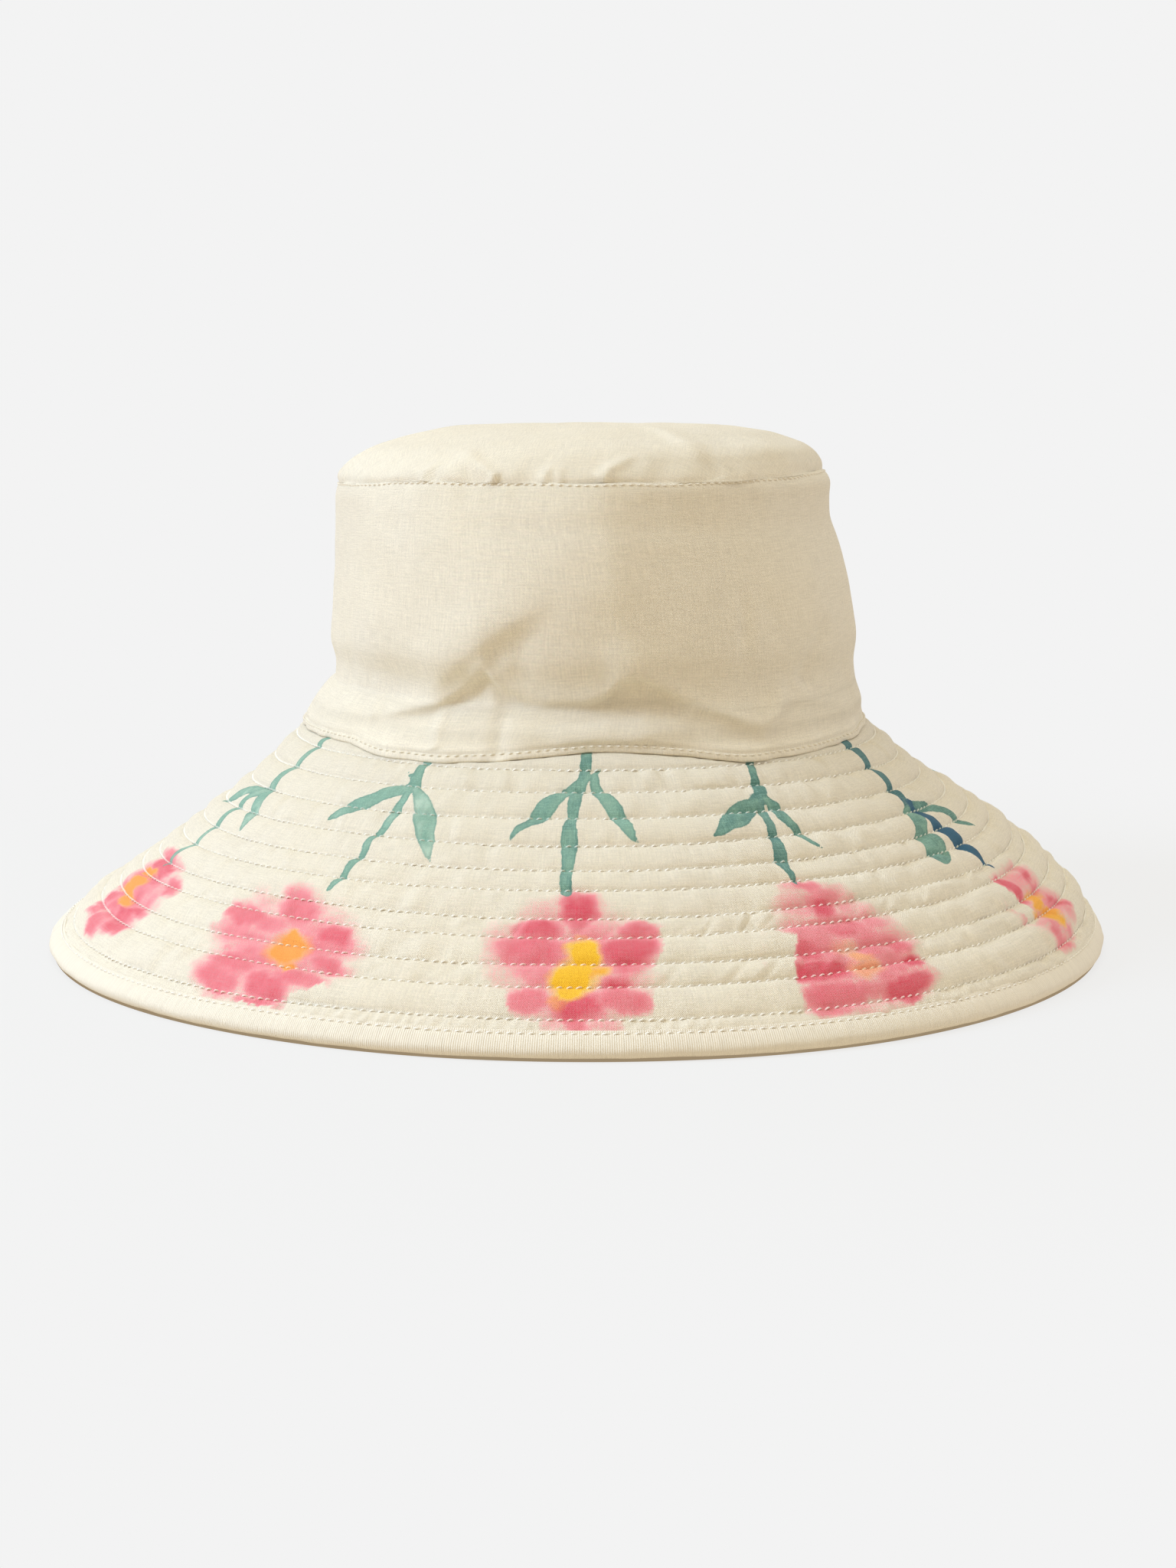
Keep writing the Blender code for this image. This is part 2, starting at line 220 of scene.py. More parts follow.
# seam round the tip: degrees, z
SEAM = [
    (-83, 148.0), (-50, 149.4), (-28, 150.2), (0, 150.2), (31, 150.3), (44, 150.8),
    (57, 151.3), (77, 152.5), (110, 152.0), (150, 150.5), (180, 150.0), (-150, 149.5),
    (-110, 148.2),
]
FOLD_LIFT = 0.90  # of the folded edge above the brim


def crown(angle, z, lift=0.0):
    """Point on the crown's smooth form."""
    radius = curve(z, CROWN_Z, CROWN_R) + lift
    x = radius * np.sin(angle) + AXIS_X + curve(z, CROWN_Z, CROWN_SHIFT)
    return np.stack([x, -OVAL * radius * np.cos(angle), z + 0 * angle], -1)


def edge_down(angle):
    return around(angle, EDGE)


def crown_foot(angle):
    """Point where the folded edge stands on the brim."""
    return brim(angle, edge_down(angle) + 0.4, FOLD_LIFT)


def seam_z(angle):
    return around(angle, SEAM) + 0.25 * ring_noise(angle, 40, 0.3, 3)


# ---------------------------------------------------------------- quilting relief of the brim

# stitched rows by their distance down the slope, then the lines that bound the channels
ROWS = [4.87, 14.28, 24.82, 34.77, 43.99, 52.0, 61.7, 67.84, 77.4, 85.05, 95.61]
TOP_START, BIND_STITCH, TOP_END = -6.5, 100.4, 104.4
LAST_CHANNEL = len(ROWS) + 1
GATHERED_CHANNEL = LAST_CHANNEL - 1
PLEATS = {7: 104, 9: 112}  # channel: pleats round the hat
FLOOR_LIFT = -0.38
UNDER_FLOOR = -2.30
TOP_STEPS = [0, 0.02, 0.055, 0.11, 0.19, 0.29, 0.40, 0.52, 0.64, 0.75, 0.85, 0.93, 1.0]
MIDDLE_STEPS = [0, 0.25, 0.5, 0.75, 1.0]
UNDER_STEPS = [0, 0.04, 0.14, 0.32, 0.5, 0.68, 0.86, 0.96, 1.0]


def row_down(row, angle):
    wobble = 0.45 * ring_noise(angle, 9, row * 7.3, 11) + 0.16 * ring_noise(angle, 31, row * 5.1, 12)
    return ROWS[row] + wobble


def side_seam(angle):
    """Shallow groove where the front and back halves are joined."""
    return -0.55 * bell((np.abs(wrap(np.degrees(angle))) - 90.0) * 2.2, 0, 0.9)


def puff(angle, across, channel, down, width):
    """Lift of the quilted cloth, across its channel from 0 to 1."""

    def ripple(cells, y, seed, shift=0.0):
        return ring_noise(angle, cells, y, seed, shift)

    near = np.minimum(across, 1 - across) * width
    fade = 1 - decay(near, 0.7)
    # cushion
    rise = np.clip(0.172 * width, 0.38, 1.92)
    rise = rise * (1 + 0.30 * hump(angle, 78, 40) + 0.16 * ripple(23, channel * 3.7, 21))
    arch = (4 * across * (1 - across)) ** 0.60
    lift = rise * arch * (1 + 0.16 * ripple(60, down / 16.0, 26))
    # fine ripples left of the front
    fine = ripple(170, across + channel * 4.0, 63, 0.2 * across)
    lift = lift + fade * 0.30 * hump(angle, -14, 12) * fine
    # slanting wrinkles, strongest beside the stitches and on the front's right
    live = 0.70 + 1.05 * hump(angle, 56, 38) + 0.35 * hump(angle, -42, 26)
    live = np.clip(live + 0.30 * ripple(7, channel * 1.9, 22), 0.25, 1.6)
    lean = 0.55 * scatter(channel, 3, 5) + 0.5 * ripple(11, channel * 2.3, 23)
    slant = lean * (across - 0.5) * width
    ridge = ripple(150 + 6 * channel, across * 0.9 + channel * 10.0, 24, slant / 6.0)
    ridge = ridge - 0.25 * np.abs(ridge)
    small = ripple(330 + 10 * channel, across * 1.6 + channel * 13.0, 25, slant / 3.0)
    small = small * decay(near, 2.2)
    lift = lift + live * fade * (0.48 * ridge * (0.45 + 0.55 * decay(near, 3.0)) + 0.20 * small)
    if channel in PLEATS:
        count = PLEATS[channel]
        phase = np.asarray(angle) / TURN * count + 0.55 * across + 0.30 * across * across
        phase = phase + 0.9 * ripple(34, channel * 2.0, 61)
        cell = np.floor(phase)
        deep = 0.25 + 0.75 * scatter(cell.astype(np.int64) % count, channel, 62)
        where = np.clip(0.30 + 0.95 * hump(angle, 18, 26) + 0.3 * hump(angle, -40, 22), 0, 1.2)
        groove = bell(phase - cell, 0.5, 0.15) * (0.35 + 0.65 * across)
        lift = lift - fade * 0.80 * where * deep * groove
        lift = lift + fade * 0.22 * where * deep * bell(phase - cell, 0.22, 0.15)
    if channel == GATHERED_CHANNEL:
        phase = np.asarray(angle) / TURN * 268 + 0.42 * (across - 0.5) * width / 3.9
        gather = np.sin(TURN * phase + 2.4 * ripple(60, 2.0, 27))
        lift = lift + fade * 0.22 * gather * (0.55 + 0.5 * ripple(45, 9.0, 28))
    return FLOOR_LIFT + lift


def top_lift(angle, across, channel, down, lines):
    if channel == LAST_CHANNEL:
        lift = FLOOR_LIFT + 0.25 * np.sin(PI * across) - 0.75 * across * across + 0 * angle
    elif channel == 0:
        # only the part outside the crown's folded edge can puff up
        start = edge_down(angle) + 0.4
        free = np.maximum(lines[1] - edge_down(angle) - 0.4, 0.4)
        share = np.clip((down - start) / free, 0, 1)
        rise = np.clip(0.25 + 0.15 * free, 0.35, 1.25) * (1 + 0.15 * ring_noise(angle, 60, 0.0, 28))
        lift = FLOOR_LIFT + 0.20 + (4 * share * (1 - share)) ** 0.6 * rise
    else:
        lift = puff(angle, across, channel, down, lines[channel + 1] - lines[channel])
    return lift + side_seam(angle)


def under_lift(angle, across, channel, down, lines):
    if channel == LAST_CHANNEL:
        return UNDER_FLOOR + 0 * angle
    arch = (4 * across * (1 - across)) ** 0.65
    rise = np.clip(0.085 * (lines[channel + 1] - lines[channel]), 0.2, 0.95)
    ridge = ring_noise(angle, 140 + 5 * channel, across * 0.9 + channel * 9.0, 51)
    return UNDER_FLOOR - rise * arch - 0.16 * ridge * arch


def quilt_grid(angle, steps, lift_at):
    """Distances down and lifts on a grid whose rows follow the stitched lines."""
    lines = [TOP_START + 0 * angle]
    lines += [row_down(row, angle) for row in range(len(ROWS))]
    lines += [BIND_STITCH + 0 * angle, TOP_END + 0 * angle]
    downs, lifts = [], []
    for channel in range(LAST_CHANNEL + 1):
        width = lines[channel + 1] - lines[channel]
        # a channel's last row is the first of the next
        for across in steps if channel == LAST_CHANNEL else steps[:-1]:
            downs.append(lines[channel] + across * width)
            lifts.append(lift_at(angle, across, channel, downs[-1], lines))
    return np.array(downs), np.array(lifts)


# ---------------------------------------------------------------- folds of the crown


def near_line(x, y, points):
    """Distance to a polyline, its side (+1 left of its direction), and how far along, 0..1."""
    steps = np.diff(points, axis=0)
    lengths = np.hypot(steps[:, 0], steps[:, 1])
    best = np.full(x.shape, 1e9)
    side = np.zeros(x.shape)
    along = np.zeros(x.shape)
    done = 0.0
    for (px, py), (dx, dy), length in zip(points[:-1], steps, lengths):
        t = np.clip(((x - px) * dx + (y - py) * dy) / (length * length), 0, 1)
        ex, ey = x - (px + t * dx), y - (py + t * dy)
        distance = np.hypot(ex, ey)
        closer = distance < best
        best = np.where(closer, distance, best)
        side = np.where(closer, np.sign(dx * ey - dy * ex), side)
        along = np.where(closer, (done + t * length) / lengths.sum(), along)
        done += length
    return best, side, along


def crease(x, y, points, height, left, right, fade_in, fade_out):
    """Rounded ridge (or valley) along a line; its two flanks can have different widths."""
    distance, side, t = near_line(x, y, resample(points, 24))
    ends = ease(t, 0, fade_in + 1e-6) * (1 - ease(t, 1 - fade_out - 1e-6, 1))
    return height * ends * bell(distance, 0, np.where(side > 0, left, right))


MM_PER_DEGREE = 1.51

# the belly is a soft bulge across the wall: (degrees, z) of its lower side, (degrees, size)
BELLY_Z = [
    (-60, 76), (-48, 77), (-38.6, 80.2), (-32.2, 82.9), (-26.0, 88.7), (-21.6, 93.4),
    (-18.4, 88.5), (-9.5, 83.8), (-2.7, 84.0), (1.3, 85.5), (4.9, 90.0), (7.8, 91.6),
    (11.9, 89.3), (19.1, 83.4), (25.2, 80.5), (33.8, 76.7), (44.1, 82), (56, 80), (70, 78),
]
BELLY_SIZE = [
    (-75, 0), (-50, 0.5), (-38, 1.5), (-30, 2.1), (-24, 1.8), (-20, 1.5), (-14, 1.4),
    (-6, 2.0), (0, 2.5), (6, 2.5), (12, 2.2), (20, 1.9), (27, 1.6), (34, 0.9), (44, 0.8),
    (60, 0.3), (75, 0),
]
# lean of the wall: (degrees, share) and (z, offset)
LEAN_ROUND = [
    (-100, 0), (-68, 0.05), (-46, 0.75), (-24, 1.0), (-6, 1.0), (3, 0.85), (14, 0.42),
    (30, 0.2), (52, 0.05), (100, 0),
]
LEAN_UP = [
    (66, 0), (70, 0.2), (75, 0.0), (80, -0.6), (86, -0.6), (93, 1.0), (101, 3.0), (110, 4.4),
    (120, 4.9), (130, 4.2), (140, 2.5), (149, 0.1), (152, 0),
]
# (degrees, share) of the flare at the middle of the front
FLARE_ROUND = [(-100, 0), (-24, 0), (-14, 0.5), (-4, 1.0), (6, 1.0), (13, 0.8), (22, 0), (100, 0)]
# points (degrees, z), height, left width, right width, fade at start, fade at end
WALL_CREASES = [
    ([(-6, 121), (-12.0, 113.5), (-17.9, 107.0), (-24.4, 99.5), (-31, 92), (-38, 85)],
     2.1, 4.2, 12.0, 0.35, 0.2),
    ([(-9, 110), (-14.9, 103.5), (-20.5, 97.6), (-26.5, 91.0), (-33.0, 84.5)],
     -1.3, 4.0, 4.5, 0.3, 0.2),
    ([(-19.5, 99), (-22.0, 95.5), (-24.5, 91.0)], 0.9, 2.2, 2.2, 0.3, 0.3),
    ([(-20.5, 96), (-20.8, 88.0), (-18.5, 80.5)], 0.8, 2.4, 2.8, 0.2, 0.3),
    ([(-13, 104), (-14.5, 96), (-16.0, 89)], -0.8, 4.0, 3.0, 0.4, 0.3),
    ([(61, 108), (56, 103), (51.0, 95.5), (46.2, 85.4)], -1.7, 5.0, 4.0, 0.4, 0.2),
    ([(42, 92), (39.8, 84), (36, 76), (33.3, 70.6)], 1.2, 2.6, 3.4, 0.4, 0.2),
    ([(32.5, 121), (31.3, 108), (30.1, 94)], -0.5, 3.0, 1.8, 0.4, 0.4),
    ([(36, 118), (35.0, 104), (33.5, 92)], 0.45, 4.0, 3.0, 0.4, 0.4),
    ([(-30.5, 82.5), (-29.5, 77.1), (-28.0, 70.2)], 0.9, 2.0, 2.4, 0.2, 0.1),
    ([(-17.9, 82.1), (-16.8, 76), (-15.6, 68.2)], -1.1, 2.4, 2.6, 0.2, 0.1),
    ([(-54, 90), (-51, 85), (-46, 77)], 0.8, 2.6, 3.2, 0.3, 0.2),
    ([(-60, 100), (-64, 90), (-62, 78)], -0.7, 5.0, 4.0, 0.3, 0.3),
    ([(8.0, 90), (10.5, 82), (11.5, 72)], 0.6, 3.0, 4.2, 0.3, 0.2),
    ([(68, 96), (72, 86), (71, 76)], 0.9, 3.4, 4.4, 0.3, 0.3),
]


def folds(degrees, z):
    """Offset of the soft wall by its folds."""
    x = degrees * MM_PER_DEGREE
    size = curve(degrees, *zip(*BELLY_SIZE))
    above = z - curve(degrees, *zip(*BELLY_Z))
    lift = 1.95 * size * (1 / (1 + np.exp(-above / 0.80))) * decay(above, 10.5)
    lift = lift - 0.40 * size * bell(above, -4.0, 3.0)
    for points, *shape in WALL_CREASES:
        lift += crease(x, z, [(d * MM_PER_DEGREE, height) for d, height in points], *shape)
    # the upper wall swells above the folds; the cloth flares out below them
    lift += curve(degrees, *zip(*LEAN_ROUND)) * curve(z, *zip(*LEAN_UP))
    flare = 1.3 * bell(z, 75.5, 4.0) - 1.5 * bell(z, 83.5, 3.6)
    lift += curve(degrees, *zip(*FLARE_ROUND)) * flare
    lift += -0.9 * bell(degrees, -46, 11) * bell(z, 75, 5.5)
    # soft upright break near the middle of the front
    beside = x - (3.2 - 0.055 * (z - 147)) * MM_PER_DEGREE
    fall = ease(z, 100, 128) * (1 - 0.35 * ease(z, 142, 151))
    lift += 2.4 * fall * np.exp(-np.sqrt(beside**2 + 34.0) / 11.0)
    lift += -0.45 * fall * bell(beside, 16, 11)
    return lift


def wall_lift(angle, z):
    """All relief of the crown wall."""
    degrees = wrap(np.degrees(angle))
    back = wrap(180.0 - degrees) * 0.9 + 9.0  # the back reuses the front's folds
    front_share = 1 - ease(np.abs(degrees), 78, 98)
    back_share = ease(np.abs(degrees), 96, 118)
    lift = folds(np.clip(degrees, -100, 100), z) * front_share
    lift = lift + 0.75 * folds(np.clip(back, -100, 100), z) * back_share
    lift += 0.30 * ring_noise(angle, 22, z / 17.0, 31) + 0.13 * ring_noise(angle, 48, z / 9.0, 32)
    # ripples hanging from the tip seam, and the groove at the seam
    below = seam_z(angle) - z
    lift += 0.22 * ring_noise(angle, 84, z / 22.0, 33) * decay(below, 7.0)
    lift += -0.34 * bell(below, 0, 1.0) + 0.22 * bell(below, 3.6, 2.6)
    # ripples standing on the folded edge, and the dip of its stitching
    above = z - brim(angle, edge_down(angle))[..., 2]
    lift += 0.50 * ring_noise(angle, 96, z / 20.0, 34, 0.02 * above) * decay(above, 6.0)
    lift += -0.38 * bell(above, 2.24, 0.60)
    lift += 0.12 * bell(above, 1.4, 0.7) + 0.18 * bell(above, 3.7, 1.1)
    lift += side_seam(angle) * 0.8
    # never deeper than the lining allows
    return np.where(lift < -0.7, -0.7 - 0.75 * np.tanh((-0.7 - lift) / 0.75), lift)


def wall_height(angle):
    return seam_z(angle) - crown_foot(angle)[..., 2]


def wall(angle, share, lift=0.0):
    """Point on the crown wall, a share (0..1) of the way from its folded edge to the tip seam."""
    foot = crown_foot(angle)
    foot_z = foot[..., 2]
    z = foot_z + share * (seam_z(angle) - foot_z)
    away = (foot - crown(angle, foot_z)) * decay(z - foot_z, 7.0)[..., None]
    away[..., 2] = 0
    return crown(angle, z, lift + wall_lift(angle, z)) + away


# The tip is measured by arc length up its dome, growing towards the middle.
TIP_Z = np.linspace(147.0, CROWN_Z[-1], 900)
TIP_R = curve(TIP_Z, CROWN_Z, CROWN_R)
TIP_ARC = travel(TIP_R, TIP_Z)
ARC_TOP = TIP_ARC[-1]
TIP_NORMAL_R = np.gradient(TIP_Z, TIP_ARC)
TIP_NORMAL_Z = -np.gradient(TIP_R, TIP_ARC)

# points (degrees, z), height, left width, right width, fade at start, fade at end
TIP_CREASES = [
    ([(-37.5, 149.6), (-36.3, 153.8), (-33.5, 157.5)], 0.9, 2.2, 2.6, 0.05, 0.5),
    ([(-18.6, 150.4), (-22.5, 153.4), (-28.0, 157.0), (-33.5, 160.5)], 1.5, 2.2, 3.2, 0.03, 0.5),
    ([(-20.5, 150.4), (-25, 153.2), (-31.0, 156.4)], -0.9, 2.0, 2.4, 0.03, 0.5),
    ([(-8.6, 150.3), (-7.7, 153.0), (-6.9, 156.2)], 0.8, 1.5, 1.8, 0.03, 0.5),
    ([(-4.6, 150.3), (-5.0, 153.0), (-5.6, 155.2)], 0.6, 1.3, 1.5, 0.03, 0.5),
    ([(4.0, 150.3), (6.0, 153.6), (9.2, 156.4), (11.0, 158.8)], 1.1, 2.0, 2.6, 0.03, 0.5),
    ([(30.6, 151.0), (30.0, 154.5), (27.5, 159.1)], -0.8, 2.8, 2.6, 0.05, 0.5),
    ([(20.0, 167.0), (21.4, 166.2), (24.0, 162.5), (26.5, 158.8), (30, 156)],
     1.1, 3.0, 7.0, 0.25, 0.3),
    ([(42.3, 160.9), (52, 157.5), (62.8, 153.4)], 0.8, 4.0, 5.0, 0.3, 0.2),
    ([(150, 151.0), (152, 156.5), (158, 162.0)], 1.3, 3.0, 5.0, 0.05, 0.5),
    ([(-140, 150.5), (-144, 156.5), (-150, 161.0)], 1.1, 3.4, 4.0, 0.05, 0.5),
]


def arc_of(z):
    return np.interp(z, TIP_Z, TIP_ARC)


def tip_plan(angle, arc):
    """Flattened place on the tip: x to the right, y to the front."""
    return (ARC_TOP - arc) * np.sin(angle), (ARC_TOP - arc) * np.cos(angle)


def tip_lift(angle, arc):
    x, y = tip_plan(angle, arc)
    inward = arc - arc_of(seam_z(angle))
    lift = -0.50 * bell(inward, 0, 1.0) + 0.38 * bell(inward, 3.2, 2.4)
    # gathers running in from the seam
    lean = 0.05 * ring_noise(angle, 12, 0.0, 41)
    gather = ring_noise(angle, 62, inward / 26.0, 42, inward * lean)
    gather = gather - 0.3 * np.abs(gather)
    small = ring_noise(angle, 128, inward / 9.0, 43)
    gathers = 0.62 * gather * decay(inward, 8.0) + 0.22 * small * decay(inward, 3.2)
    lift += (1 - decay(inward, 0.8)) * gathers
    # broad dent, swelling at the front's right, and slack cloth away from the middle
    lift += -1.5 * np.exp(-(((x - 3) / 27) ** 2) - ((y + 4) / 46) ** 2)
    lift += 0.5 * np.exp(-(((x - 50) / 16) ** 2) - ((y - 30) / 24) ** 2)
    calm = ease(ARC_TOP - arc, 4, 18)
    for size, amount, seed in ((24.0, 0.42, 44), (10.0, 0.16, 45)):
        lift += amount * noise(x / size + 40, y / size + 40, 4000, seed) * calm
    for points, *shape in TIP_CREASES:
        line = [tip_plan(math.radians(d), float(arc_of(z))) for d, z in points]
        lift += crease(x, y, line, *shape)
    return lift


def tip(angle, arc, lift):
    """Point on the tip, lifted along the dome's own normal."""
    normal_r = np.interp(arc, TIP_ARC, TIP_NORMAL_R)
    normal_z = np.interp(arc, TIP_ARC, TIP_NORMAL_Z)
    normal = np.stack(
        [normal_r * np.sin(angle), -normal_r * np.cos(angle), normal_z + 0 * angle], -1
    )
    return crown(angle, np.interp(arc, TIP_ARC, TIP_Z)) + normal * lift[..., None]


# ---------------------------------------------------------------- materials


class Shader:
    """Short ways to add nodes to a material or world."""

    def __init__(self, block, output="ShaderNodeOutputMaterial"):
        block.use_nodes = True
        self.block = block
        self.tree = block.node_tree
        self.tree.nodes.clear()
        self.out = self.node(output)

    def node(self, kind, **props):
        node = self.tree.nodes.new(kind)
        for key, value in props.items():
            setattr(node, key, value)
        return node

    def put(self, socket, value):
        if isinstance(value, bpy.types.NodeSocket):
            self.tree.links.new(value, socket)
            return
        if isinstance(value, tuple) and len(value) == 3 and socket.type == "RGBA":
            value = (*value, 1.0)
        socket.default_value = value

    def fill(self, node, *values, first=0):
        for i, value in enumerate(values):
            self.put(node.inputs[first + i], value)
        return node.outputs[0]

    def attr(self, name, output="Fac"):
        return self.node("ShaderNodeAttribute", attribute_name=name).outputs[output]

    def math(self, operation, *values):
        return self.fill(self.node("ShaderNodeMath", operation=operation), *values)

    def vary(self, base, texture, amount, middle=0.5):
        """base + amount * (texture - middle)"""
        return self.math("MULTIPLY_ADD", self.math("SUBTRACT", texture, middle), amount, base)

    def stripes(self, coord, pitch):
        return self.math("SINE", self.math("MULTIPLY", coord, TURN / pitch))

    def scaled(self, vector, factors):
        return self.fill(self.node("ShaderNodeVectorMath", operation="MULTIPLY"), vector, factors)

    def times(self, colour, factor):
        node = self.node("ShaderNodeVectorMath", operation="SCALE")
        self.put(node.inputs["Scale"], factor)
        return self.fill(node, colour)

    def noise(self, vector, scale=1.0, detail=2.0, rough=0.5):
        node = self.node("ShaderNodeTexNoise")
        values = {"Vector": vector, "Scale": scale, "Detail": detail, "Roughness": rough}
        for key, value in values.items():
            self.put(node.inputs[key], value)
        return node.outputs["Fac"]

    def mix(self, share, a, b):
        """Colour a turning into b."""
        node = self.node("ShaderNodeMix", data_type="RGBA", blend_type="MIX")
        self.put(node.inputs[0], share)
        self.fill(node, a, b, first=6)
        return node.outputs[2]

    def ramp(self, value, span, to=(0.0, 1.0), kind="SMOOTHSTEP"):
        node = self.node("ShaderNodeMapRange", interpolation_type=kind)
        return self.fill(node, value, *span, *to)

    def split(self, vector):
        node = self.node("ShaderNodeSeparateXYZ")
        self.put(node.inputs[0], vector)
        return node.outputs

    def bump(self, height, distance):
        node = self.node("ShaderNodeBump")
        node.inputs["Distance"].default_value = distance
        self.put(node.inputs["Height"], height)
        return node.outputs[0]

    def blend(self, share, a, b):
        return self.fill(self.node("ShaderNodeMixShader"), share, a, b)

    def front_only(self, surface, geometry):
        """The surface seen from its front, and nothing from behind."""
        clear = self.node("ShaderNodeBsdfTransparent").outputs[0]
        self.end(self.blend(geometry.outputs["Backfacing"], surface, clear))

    def end(self, surface):
        self.put(self.out.inputs[0], surface)
        return self.block

    def finish(self, colour, rough, normal, sheen=0.12, specular=0.25):
        node = self.node("ShaderNodeBsdfPrincipled")
        values = {
            "Base Color": colour, "Roughness": rough, "Specular IOR Level": specular,
            "Sheen Weight": sheen, "Sheen Roughness": 0.5, "Normal": normal,
        }
        for key, value in values.items():
            self.put(node.inputs[key], value)
        return self.end(node.outputs[0])


def cloth_shader(name):
    """Shader and its coordinates: millimetres over the flat cloth."""
    sh = Shader(bpy.data.materials.new(name))
    return sh, sh.attr("mm", "Vector")


def linear(red, green, blue):
    """Linear colour from 0..255 display values."""
    values = (v / 255 for v in (red, green, blue))
    return tuple(v / 12.92 if v <= 0.04045 else ((v + 0.055) / 1.055) ** 2.4 for v in values)


def scale(colour, *factors):
    factors = factors * 3 if len(factors) == 1 else factors
    return tuple(value * factor for value, factor in zip(colour, factors))


IVORY = (0.872, 0.808, 0.662)
WEAVE_DEPTH = 0.00021


def weave(sh, mm, colour, dark):
    """Plain weave of uneven threads: its colour, height, threads, and thread-by-thread gain."""
    x, y, _ = sh.split(mm)
    cross = sh.math("MULTIPLY", sh.stripes(x, pitch=0.50), sh.stripes(y, pitch=0.50))
    warp = sh.noise(sh.scaled(mm, (2.5, 0.14, 1.0)), detail=3.0, rough=0.6)
    weft = sh.noise(sh.scaled(mm, (0.14, 2.6, 1.0)), detail=3.0, rough=0.6)
    threads = sh.math("ADD", warp, weft)
    fine = sh.noise(mm, scale=1.9, rough=0.6)
    height = sh.math("ADD", sh.math("MULTIPLY", cross, 0.34), sh.math("MULTIPLY", threads, 0.62))
    height = sh.math("ADD", height, sh.math("MULTIPLY", fine, 0.5))
    # light and dark threads and crossings, even about the cloth's own colour
    gain = sh.vary(1.0, fine, amount=0.36)
    gain = sh.vary(gain, threads, amount=0.17, middle=1.0)
    gain = sh.math("MULTIPLY_ADD", cross, 0.045, gain)
    # broad, slightly yellower patches
    big = sh.noise(mm, scale=0.030, detail=3.0)
    col = sh.mix(sh.ramp(threads, span=(0.70, 1.30)), scale(colour, dark), colour)
    yellower = scale(colour, 1.0, 0.985, 0.94)
    col = sh.mix(sh.ramp(big, span=(0.3, 0.75), to=(0.0, 0.35)), col, yellower)
    return col, height, threads, gain


def cotton(name, colour, depth=WEAVE_DEPTH, dark=0.92):
    sh, mm = cloth_shader(name)
    col, height, _, gain = weave(sh, mm, colour, dark)
    return sh.finish(sh.times(col, gain), rough=0.86, normal=sh.bump(height, depth))


def printed_cotton(name):
    sh, mm = cloth_shader(name)
    col, height, threads, gain = weave(sh, mm, IVORY, dark=0.92)
    patch = sh.noise(mm, scale=0.16, detail=3.0, rough=0.55)
    mid = sh.noise(mm, scale=0.42, detail=3.0, rough=0.6)
    speck = sh.noise(mm, scale=1.9, rough=0.7)
    grain = sh.math("SUBTRACT", threads, 1.0)

    # petals: colour in two strengths, broken up by the weave
    pink = sh.attr("pink")
    dose = sh.vary(pink, patch, amount=0.26)
    dose = sh.vary(dose, mid, amount=0.16)
    dose = sh.vary(dose, speck, amount=0.52)
    dose = sh.math("MULTIPLY_ADD", grain, 0.42, dose)
    keep = sh.ramp(pink, span=(0.0, 0.16))
    thin = sh.math("MULTIPLY", sh.ramp(dose, span=(0.0, 0.46), kind="LINEAR"), keep)
    thick = sh.math("MULTIPLY", sh.ramp(dose, span=(0.42, 1.16), kind="LINEAR"), keep)
    col = sh.mix(thin, col, linear(245, 160, 165))
    col = sh.mix(thick, col, linear(222, 72, 94))

    # centres
    gold = sh.attr("gold")
    dose = sh.vary(gold, mid, amount=0.30)
    dose = sh.vary(dose, speck, amount=0.22)
    keep = sh.ramp(gold, span=(0.02, 0.12))
    dose = sh.math("MULTIPLY", sh.ramp(dose, span=(0.08, 0.70), kind="LINEAR"), keep)
    hue = sh.attr("gold_hue")
    first_half = sh.ramp(hue, span=(0.0, 0.55))
    yellow = sh.mix(first_half, linear(254, 199, 48), linear(250, 164, 80))
    yellow = sh.mix(sh.ramp(hue, span=(0.55, 1.0)), yellow, linear(248, 172, 138))
    col = sh.mix(dose, col, yellow)

    # leaves and stems: opaque brush strokes with crisp edges
    edge = sh.vary(sh.attr("leaf"), mid, amount=0.9)
    edge = sh.math("MULTIPLY_ADD", grain, 0.25, edge)
    full_cover, cover = 1.0, 0.97
    mask = sh.math("MULTIPLY", sh.ramp(edge, span=(0.16, -0.16)), full_cover)
    tone = sh.vary(sh.attr("leaf_tone"), patch, amount=2.0, middle=0.52)
    teal = sh.mix(sh.ramp(tone, span=(0.0, 1.0)), linear(78, 131, 122), linear(132, 176, 157))
    teal = sh.mix(sh.ramp(tone, span=(1.0, 2.0)), teal, linear(196, 220, 200))
    worn = sh.math("ADD", grain, sh.math("SUBTRACT", speck, 0.5))
    worn = sh.ramp(worn, span=(-0.12, 0.30), to=(0.0, 0.42))
    teal = sh.mix(worn, teal, linear(158, 204, 186))
    outline = sh.math("MULTIPLY", sh.ramp(edge, span=(-0.85, -0.15)), 0.35)
    teal = sh.mix(outline, teal, linear(58, 118, 112))
    teal = sh.mix(sh.attr("leaf_blue"), teal, linear(0, 88, 120))
    col = sh.mix(sh.math("MULTIPLY", mask, cover), col, teal)
    return sh.finish(sh.times(col, gain), rough=0.86, normal=sh.bump(height, WEAVE_DEPTH))


